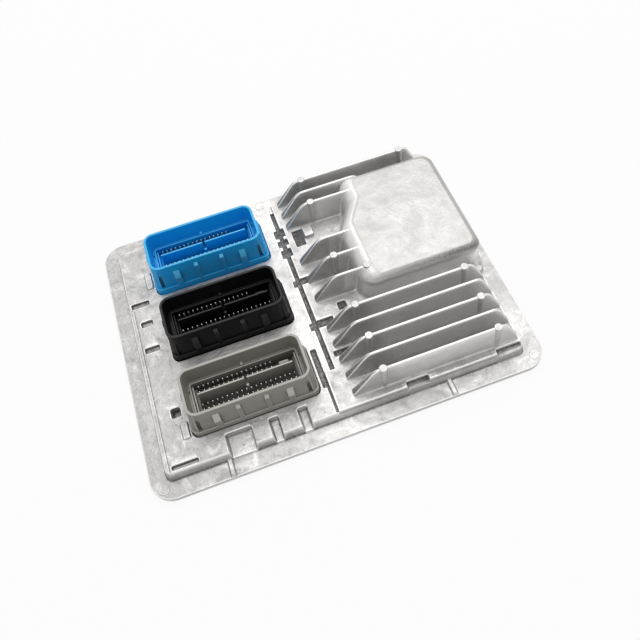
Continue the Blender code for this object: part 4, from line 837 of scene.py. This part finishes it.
def pins_shell(y):
    """The square pins with their bevelled edges and tips."""
    shell = Shell()
    section = ((-0.75, -1), (0.75, -1), (1, -0.75), (1, 0.75), (0.75, 1), (-0.75, 1), (-1, 0.75), (-1, -0.75))
    # Tones paint light: painted shade down the stems and painted highlights on the tips.
    table = ((0.32, 10.6, -1), (0.32, 16.3, -0.75), (0.32, 17.3, 0.2), (0.3, 17.7, 0.8), (0.24, 17.95, 1),
             (0.18, LEDGE, 1))
    for offset, count in PIN_ROWS:
        for i in range(count):
            x, pin_y = PIN_LEFT + i * PIN_PITCH, y + WELL_OFFSET + offset
            shell.stack(levels(lambda half: [(x + a * half, pin_y + b * half) for a, b in section], table))
    return shell


# ---- base plate and its screws

def cut_holes(thing, holes):
    """Drills a shell's forms out of a piece with an exact boolean and keeps the result in its mesh."""
    tool = new_object("holes", holes.mesh("holes"))
    modifier = thing.modifiers.new("holes", "BOOLEAN")
    modifier.object = tool
    modifier.solver = "EXACT"
    graph = bpy.context.evaluated_depsgraph_get()
    done = bpy.data.meshes.new_from_object(thing.evaluated_get(graph))
    thing.modifiers.clear()
    thing.data = done
    bpy.data.objects.remove(tool)
    done.shade_smooth()
    done.set_sharp_from_angle(angle=radians(30))


def plate_piece(places, look):
    """The flat sheet under the cover, with its countersunk holes."""
    shell, holes = Shell(), Shell()
    shell.stack(levels(flange_outline, (
        (0.35, 0, 0), (0.1, 0.06, 0.3), (0, 0.25, 0.3), (0, 1.1, 0.4), (0.12, 1.38, -0.6),
        (0.5, PLATE_TOP, -1))))
    for x, y in places:
        holes.stack(levels(lambda size: circle(x, y, size, 40), (
            (6.4, -0.5, 0), (6, 0.1, 0), (3.5, 1.35, 0), (3.5, 2.2, 0))))
    plate = shell.piece("base_sheet", look)
    cut_holes(plate, holes)
    return plate


def lobed(x, y, size, steps=48):
    """The six-lobed outline of a screw's drive recess."""
    ring = []
    for angle in (2 * pi * i / steps for i in range(steps)):
        radius = size / 2 * (1 + 0.13 * cos(6 * angle))
        ring.append((x + radius * cos(angle), y + radius * sin(angle)))
    return ring


def plate_screw(name, node, x, y, look):
    """A countersunk screw, from the floor of its recess over its head to its tip."""
    recess = levels(lambda size: lobed(x, y, size), (
        (2, 0.95, -0.9), (2.1, 0.75, -0.8), (2.3, 0.2, -0.4), (2.5, 0.12, 0.4)))
    body = levels(lambda size: circle(x, y, size, 48), (
        (2.9, 0.1, 0.2), (5, 0.1, 0.1), (5.3, 0.16, 0.5), (5.4, 0.3, 0), (3.1, 1.42, 0), (2.9, 1.6, 0),
        (2.9, 4.6, 0), (1.9, 5.1, 0)))
    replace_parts(Shell().stack(recess + body).piece(name, look), node)


# ---- materials

class Nodes:
    """A node tree, built with short calls."""

    def __init__(self, tree):
        self.tree = tree

    def feed(self, socket, value):
        if isinstance(value, bpy.types.NodeSocket):
            self.tree.links.new(value, socket)
        else:
            socket.default_value = value

    def node(self, kind, inputs=None, **settings):
        node = self.tree.nodes.new(kind)
        for key, value in settings.items():
            setattr(node, key, value)
        for key, value in (inputs or {}).items():
            self.feed(node.inputs[key], value)
        return node

    def math(self, operation, *values):
        return self.node("ShaderNodeMath", dict(enumerate(values)), operation=operation).outputs["Value"]

    def times(self, first, second):
        return self.math("MULTIPLY", first, second)

    def seen(self):
        """1 for rays that come from the camera, or from a mirror or a clear body."""
        rays = self.node("ShaderNodeLightPath").outputs
        return self.math("MAXIMUM", rays["Is Camera Ray"],
                         self.math("MAXIMUM", rays["Is Glossy Ray"], rays["Is Transmission Ray"]))

    def blend(self, share, first, second, target):
        self.feed(target, self.node("ShaderNodeMixShader", {0: share, 1: first, 2: second}).outputs[0])


class Paint(Nodes):
    """A material around the standard shader. Its patterns lie in the object's own space, in metres."""

    def __init__(self, name):
        self.material = bpy.data.materials.new(name)
        self.material.use_nodes = True
        super().__init__(self.material.node_tree)
        self.shader = self.tree.nodes["Principled BSDF"]
        self.place = self.node("ShaderNodeTexCoord").outputs["Object"]

    def set(self, name, value):
        self.feed(self.shader.inputs[name], value)

    def noise(self, scale, detail=3, roughness=0.55, distortion=0, where=None):
        inputs = {"Vector": where or self.place, "Scale": scale, "Detail": detail, "Roughness": roughness,
                  "Distortion": distortion}
        return self.node("ShaderNodeTexNoise", inputs).outputs["Fac"]

    def cells(self, scale):
        return self.node("ShaderNodeTexVoronoi", {"Vector": self.place, "Scale": scale}).outputs["Distance"]

    def ramp(self, value, low, high, start=0, end=1):
        inputs = {"Value": value, "From Min": low, "From Max": high, "To Min": start, "To Max": end}
        return self.node("ShaderNodeMapRange", inputs, interpolation_type="SMOOTHSTEP").outputs["Result"]

    def mix(self, share, first, second):
        node = self.node("ShaderNodeMix", data_type="RGBA")
        for index, value in ((0, share), (6, first), (7, second)):
            self.feed(node.inputs[index], (*value, 1) if isinstance(value, tuple) else value)
        return node.outputs[2]

    def bump(self, *layers):
        """Layers of (height, distance in metres)."""
        normal = None
        for height, distance in layers:
            inputs = {"Height": height, "Distance": distance, "Strength": 1}
            if normal is not None:
                inputs["Normal"] = normal
            normal = self.node("ShaderNodeBump", inputs).outputs["Normal"]
        self.set("Normal", normal)

    def tone(self):
        return self.node("ShaderNodeAttribute", attribute_name="tone").outputs["Fac"]


def tinted(colour, factor, more=0):
    return tuple(channel * factor + more for channel in colour)


def cast_metal():
    """Bare die-cast aluminium: cloudy stains, flow lines, a fine grain and small pits, with painted light and
    shade: edges lighter from wear and painted highlight, painted shade from the tone, on the left end and over
    the dome's top, and a painted highlight on the deck beside the sockets.
    """
    paint = Paint("cast_metal")
    split = paint.node("ShaderNodeSeparateXYZ", {"Vector": paint.place}).outputs
    low = paint.ramp(split["Z"], 0.0115, 0.02, 1, 0.14)
    low = paint.times(low, paint.ramp(split["X"], -0.07, 0.05, 1, 0.6))
    clouds = paint.noise(22, 3, 0.55, 0.4)
    stains = paint.noise(75, 5, 0.62, 1.4)
    blotches = paint.noise(260, 4, 0.6, 0.8)
    grain = paint.noise(1500, 2, 0.6)
    specks = paint.ramp(paint.noise(560, 3, 0.7), 0.64, 0.73)
    flow = paint.math("ABSOLUTE", paint.math("SUBTRACT", paint.noise(48, 4, 0.6, 2.2), 0.5))
    base = paint.mix(paint.ramp(clouds, 0.3, 0.7), (0.46, 0.452, 0.443), (0.59, 0.582, 0.57))
    for share, colour in (
            (paint.ramp(stains, 0.52, 0.68, 0, 0.62), (0.285, 0.28, 0.276)),
            (paint.ramp(stains, 0.46, 0.33, 0, 0.62), (0.8, 0.79, 0.775)),
            (paint.ramp(blotches, 0.54, 0.7, 0, 0.42), (0.27, 0.266, 0.26)),
            (paint.ramp(flow, 0, 0.03, 0.38, 0), (0.27, 0.265, 0.26)),
            (specks, (0.24, 0.236, 0.228))):
        base = paint.mix(paint.times(share, low), base, colour)
    # A painted highlight on the deck beside the sockets' right ends, below the field's level.
    deck_highlight = paint.ramp(paint.math("ABSOLUTE", paint.math("ADD", split["X"], 0.01)), 0.006, 0.02, 0.3, 0)
    # Grain, then painted light: painted shade on the left end, painted shade that also evens out the mottling
    # over the dome's top, and the deck's painted highlight.
    for share, colour in (
            (paint.ramp(grain, 0.2, 0.8, 0, 0.2), (0.36, 0.356, 0.35)),
            (paint.ramp(split["X"], -0.1, -0.03, 0.34, 0), (0.32, 0.314, 0.308)),
            (paint.ramp(split["Z"], 0.0262, 0.0268, 0, 0.5), (0.465, 0.45, 0.432)),
            (paint.times(deck_highlight, paint.ramp(split["Z"], 0.0094, 0.0098, 1, 0)), (0.83, 0.82, 0.8))):
        base = paint.mix(share, base, colour)
    tone = paint.tone()
    # The tone paints highlights and wear lighter, and painted shade darker, less metallic and rougher.
    bright = paint.ramp(tone, 0.05, 0.8)
    dark = paint.ramp(paint.times(tone, -1), 0.05, 1)
    dark = paint.times(dark, paint.ramp(paint.noise(900, 3, 0.7), 0.38, 0.6, 0.62, 1))
    base = paint.mix(paint.times(bright, 0.8), base, (0.9, 0.895, 0.885))
    base = paint.mix(paint.times(dark, 0.92), base, (0.055, 0.053, 0.05))
    paint.set("Base Color", base)
    paint.set("Metallic", paint.math("SUBTRACT", 0.8, paint.times(dark, 0.5)))
    rough = paint.ramp(stains, 0.3, 0.75, 0.42, 0.56)
    for more in (paint.ramp(grain, 0.2, 0.8, -0.04, 0.05), paint.times(dark, 0.25)):
        rough = paint.math("ADD", rough, more)
    paint.set("Roughness", paint.math("SUBTRACT", rough, paint.times(bright, 0.08)))
    pits = paint.ramp(paint.cells(330), 0.08, 0.22)
    rare = paint.times(paint.ramp(paint.noise(120, 1), 0.56, 0.66), low)
    pits = paint.math("SUBTRACT", 1, paint.times(paint.math("SUBTRACT", 1, pits), rare))
    paint.bump((paint.noise(140, 4, 0.62), 0.0005), (paint.noise(850, 3, 0.65), 0.0001), (pits, 0.00022))
    return paint.material


def rolled_metal():
    """The base plate's sheet, with faint rolling lines and scratches."""
    paint = Paint("rolled_metal")
    stretched = paint.node("ShaderNodeMapping", {"Vector": paint.place, "Scale": (18, 900, 900)})
    lines = paint.noise(1, 3, 0.6, 0, stretched.outputs["Vector"])
    clouds = paint.noise(30, 3)
    base = paint.mix(paint.ramp(lines, 0.3, 0.7), (0.56, 0.56, 0.555), (0.66, 0.66, 0.655))
    base = paint.mix(paint.ramp(clouds, 0.4, 0.75, 0, 0.3), base, (0.48, 0.48, 0.475))
    paint.set("Base Color", base)
    paint.set("Metallic", 0.9)
    paint.set("Roughness", paint.ramp(lines, 0.2, 0.8, 0.3, 0.45))
    paint.bump((lines, 0.00002), (paint.noise(400), 0.00003))
    return paint.material


def plastic(name, colour, light, roughness, shine):
    """Moulded plastic with a fine eroded texture and a trace of dust, with painted highlights and painted shade
    from the tone.
    """
    paint = Paint(name)
    tone = paint.tone()
    base = paint.mix(paint.ramp(paint.noise(45), 0.3, 0.7, 0, 0.22), colour, tinted(colour, 1.3, 0.002))
    # High tone moves the colour toward the light colour: painted highlights on rims, ramps and top faces.
    base = paint.mix(paint.times(paint.ramp(tone, 0.2, 0.85), 0.66), base, light)
    dust = paint.times(paint.ramp(paint.noise(900, 4, 0.7), 0.62, 0.74), 0.08)
    base = paint.mix(dust, base, tinted(light, 0.5, 0.2))
    # Low tone darkens it: painted shade.
    dark = paint.ramp(paint.times(tone, -1), 0.2, 1.5, 0, 0.95)
    base = paint.mix(dark, base, tinted(colour, 0.14))
    paint.set("Base Color", base)
    paint.set("Specular IOR Level", shine)
    paint.set("Roughness", paint.ramp(paint.noise(260, 3), 0.25, 0.75, roughness - 0.07, roughness + 0.08))
    paint.bump((paint.noise(1800, 2, 0.6), 0.00002), (paint.noise(120, 2), 0.00005))
    return paint.material


def plain(name, first, second, scale, roughness, metallic=0, bump=0.00003, shade_by_tone=False):
    """A mottled material between two colours, with a fine relief."""
    paint = Paint(name)
    spots = paint.noise(scale, 4, 0.6)
    base = paint.mix(paint.ramp(spots, 0.3, 0.7), first, second)
    if shade_by_tone:
        # Low tone darkens the colour: painted shade, as down the pins' stems.
        dark = paint.ramp(paint.times(paint.tone(), -1), 0, 1, 0, 0.85)
        base = paint.mix(dark, base, tinted(first, 0.12))
    paint.set("Base Color", base)
    paint.set("Metallic", metallic)
    paint.set("Roughness", paint.ramp(spots, 0.2, 0.8, roughness - 0.06, roughness + 0.08))
    paint.bump((paint.noise(scale * 6, 3), bump))
    return paint.material


def laminate():
    """Green board with copper traces under the solder mask."""
    paint = Paint("board_mask")
    across = paint.node("ShaderNodeSeparateXYZ", {"Vector": paint.place}).outputs["Y"]
    lanes = paint.ramp(paint.math("PINGPONG", across, 0.0007), 0.00032, 0.00038)
    trace = paint.times(lanes, paint.ramp(paint.noise(60, 1), 0.48, 0.5))
    base = paint.mix(paint.times(trace, 0.6), (0.01, 0.085, 0.035), (0.03, 0.2, 0.07))
    paint.set("Base Color", base)
    paint.set("Roughness", paint.ramp(paint.noise(300), 0.3, 0.7, 0.28, 0.42))
    paint.bump((trace, 0.00003))
    return paint.material


# ---- the object

cast = (cast_metal(), "cast_aluminium")
sheet = (rolled_metal(), "sheet_aluminium")
steel = plain("zinc_plate", (0.5, 0.51, 0.53), (0.62, 0.63, 0.64), 240, 0.32, 0.95)
tin = plain("tin_plate", (0.86, 0.85, 0.8), (0.96, 0.95, 0.91), 500, 0.3, 0.75, shade_by_tone=True)
rubber = plain("seal_rubber", (0.035, 0.035, 0.038), (0.055, 0.055, 0.06), 300, 0.7)
epoxy = plain("chip_epoxy_look", (0.018, 0.018, 0.02), (0.032, 0.032, 0.034), 700, 0.5)
PLASTICS = {"grey": plastic("grey_moulding", (0.262, 0.249, 0.226), (0.7, 0.68, 0.63), 0.42, 0.4),
            "black": plastic("black_moulding", (0.004, 0.004, 0.0045), (0.06, 0.06, 0.062), 0.42, 0.18),
            "blue": plastic("blue_moulding", (0.004, 0.345, 0.8), (0.16, 0.7, 1), 0.38, 0.3)}

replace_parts(flange_piece(cast), "heat_sink_cover")
deck_piece("cover_deck_left", ((DECK_LEFT - 1.5, -79.3), (-79.3, -10.6), (-10.6, 1.6)), cast)
deck_piece("cover_deck_right", ((1.6, DECK_RIGHT + 1.5),), cast)
fins_piece(cast)
pads_piece(cast)
dome_piece(cast)

for colour, socket_y in SOCKETS.items():
    look = (PLASTICS[colour], colour + "_plastic")
    shroud = shroud_shell(socket_y)
    for add in (add_ramps, add_ears, add_small_forms):
        add(shroud, socket_y)
    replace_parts(shroud.piece(colour + "_shroud", look), colour + "_socket_shroud")
    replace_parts(carrier_shell(socket_y).piece(colour + "_carrier", look), colour + "_pin_block")
    pins_shell(socket_y).piece(colour + "_pins", (tin, "tinned_pins"))

screws = {}
for name in sorted(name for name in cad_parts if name.startswith("plate_screw")):
    low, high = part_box(name)
    screws[name] = ((low[0] + high[0]) / 2 / MM, (low[1] + high[1]) / 2 / MM)
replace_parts(plate_piece(screws.values(), sheet), "base_plate")
for name, (x, y) in screws.items():
    plate_screw("lobed_" + name, name, x, y, (steel, "zinc_plated_steel"))

# The looks of the CAD nodes that stay, by a part of their names
INNER = {"cover_seal": rubber, "socket_gasket": rubber, "circuit_board": laminate(), "processor": epoxy,
         "memory_chip": epoxy, "driver_chip": epoxy, "power_chip": epoxy, "board_screw": steel,
         "crystal": steel,
         "capacitor": plain("can_look", (0.62, 0.63, 0.64), (0.72, 0.73, 0.74), 90, 0.28, 0.95),
         "choke_core": plain("ferrite_look", (0.035, 0.035, 0.036), (0.06, 0.06, 0.062), 500, 0.55),
         "choke_winding": plain("copper_look", (0.5, 0.17, 0.06), (0.66, 0.28, 0.11), 200, 0.32, 0.9),
         "thermal_pad": plain("thermal_look", (0.4, 0.43, 0.5), (0.5, 0.53, 0.6), 400, 0.8)}
for name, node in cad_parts.items():
    for key, finish in INNER.items():
        if key in name:
            for slot in node.material_slots:
                slot.material = finish


# ---- floor, light and camera

def floor_piece():
    """A large white floor that gives back light, and looks plain white to whoever sees it."""
    paint = Paint("floor")
    paint.set("Base Color", (0.9, 0.9, 0.9, 1))
    paint.set("Roughness", 0.9)
    paint.set("Specular IOR Level", 0.1)
    white = paint.node("ShaderNodeEmission", {"Color": WHITE, "Strength": 1}).outputs[0]
    paint.blend(paint.times(paint.seen(), 0.9), paint.shader.outputs[0], white,
                paint.tree.nodes["Material Output"].inputs["Surface"])
    shell = Shell()
    side, level = 6000, -0.2
    shell.grid([[(-side, y, level), (side, y, level)] for y in (-side, side)])
    mesh = shell.mesh("floor")
    mesh.materials.append(paint.material)
    new_object("floor", mesh)


def world_light():
    """A soft light from all round, and plain white to whoever sees it."""
    world = bpy.data.worlds.new("studio")
    bpy.context.scene.world = world
    world.use_nodes = True
    world.node_tree.nodes.clear()
    sky = Nodes(world.node_tree)
    soft, white = (sky.node("ShaderNodeBackground", {"Color": WHITE, "Strength": strength}).outputs[0]
                   for strength in (0.58, 1))
    sky.blend(sky.seen(), soft, white, sky.node("ShaderNodeOutputWorld").inputs["Surface"])


def softbox(name, place, size, power):
    light = bpy.data.lights.new(name, "AREA")
    light.shape = "SQUARE"
    light.size = size
    light.energy = power
    thing = new_object(name, light)
    thing.location = place
    thing.rotation_mode = "QUATERNION"
    thing.rotation_quaternion = Vector(place).to_track_quat("Z", "Y")


def camera():
    """The photo's camera, as fitted to the flange, its corners and the sockets' rims."""
    place = (-0.026717, -0.197005, 0.310993)
    right = Vector((0.9380708, -0.3404765, -0.0640226))
    down = Vector((-0.3239973, -0.796746, -0.5101192))
    ahead = Vector((0.1226738, 0.4992711, -0.8577176))
    data = bpy.data.cameras.new("camera")
    data.sensor_width = 36
    data.lens = 36.825
    data.shift_x, data.shift_y = -0.04593, -0.00399
    data.clip_start, data.clip_end = 0.01, 20
    thing = new_object("camera", data)
    thing.matrix_world = Matrix.Translation(place) @ Matrix((right, -down, -ahead)).transposed().to_4x4()
    bpy.context.scene.camera = thing


floor_piece()
world_light()
softbox("key", (0.24, 0.62, 1.5), 1.4, 12.3)
camera()
bpy.context.scene.view_settings.view_transform = "Standard"
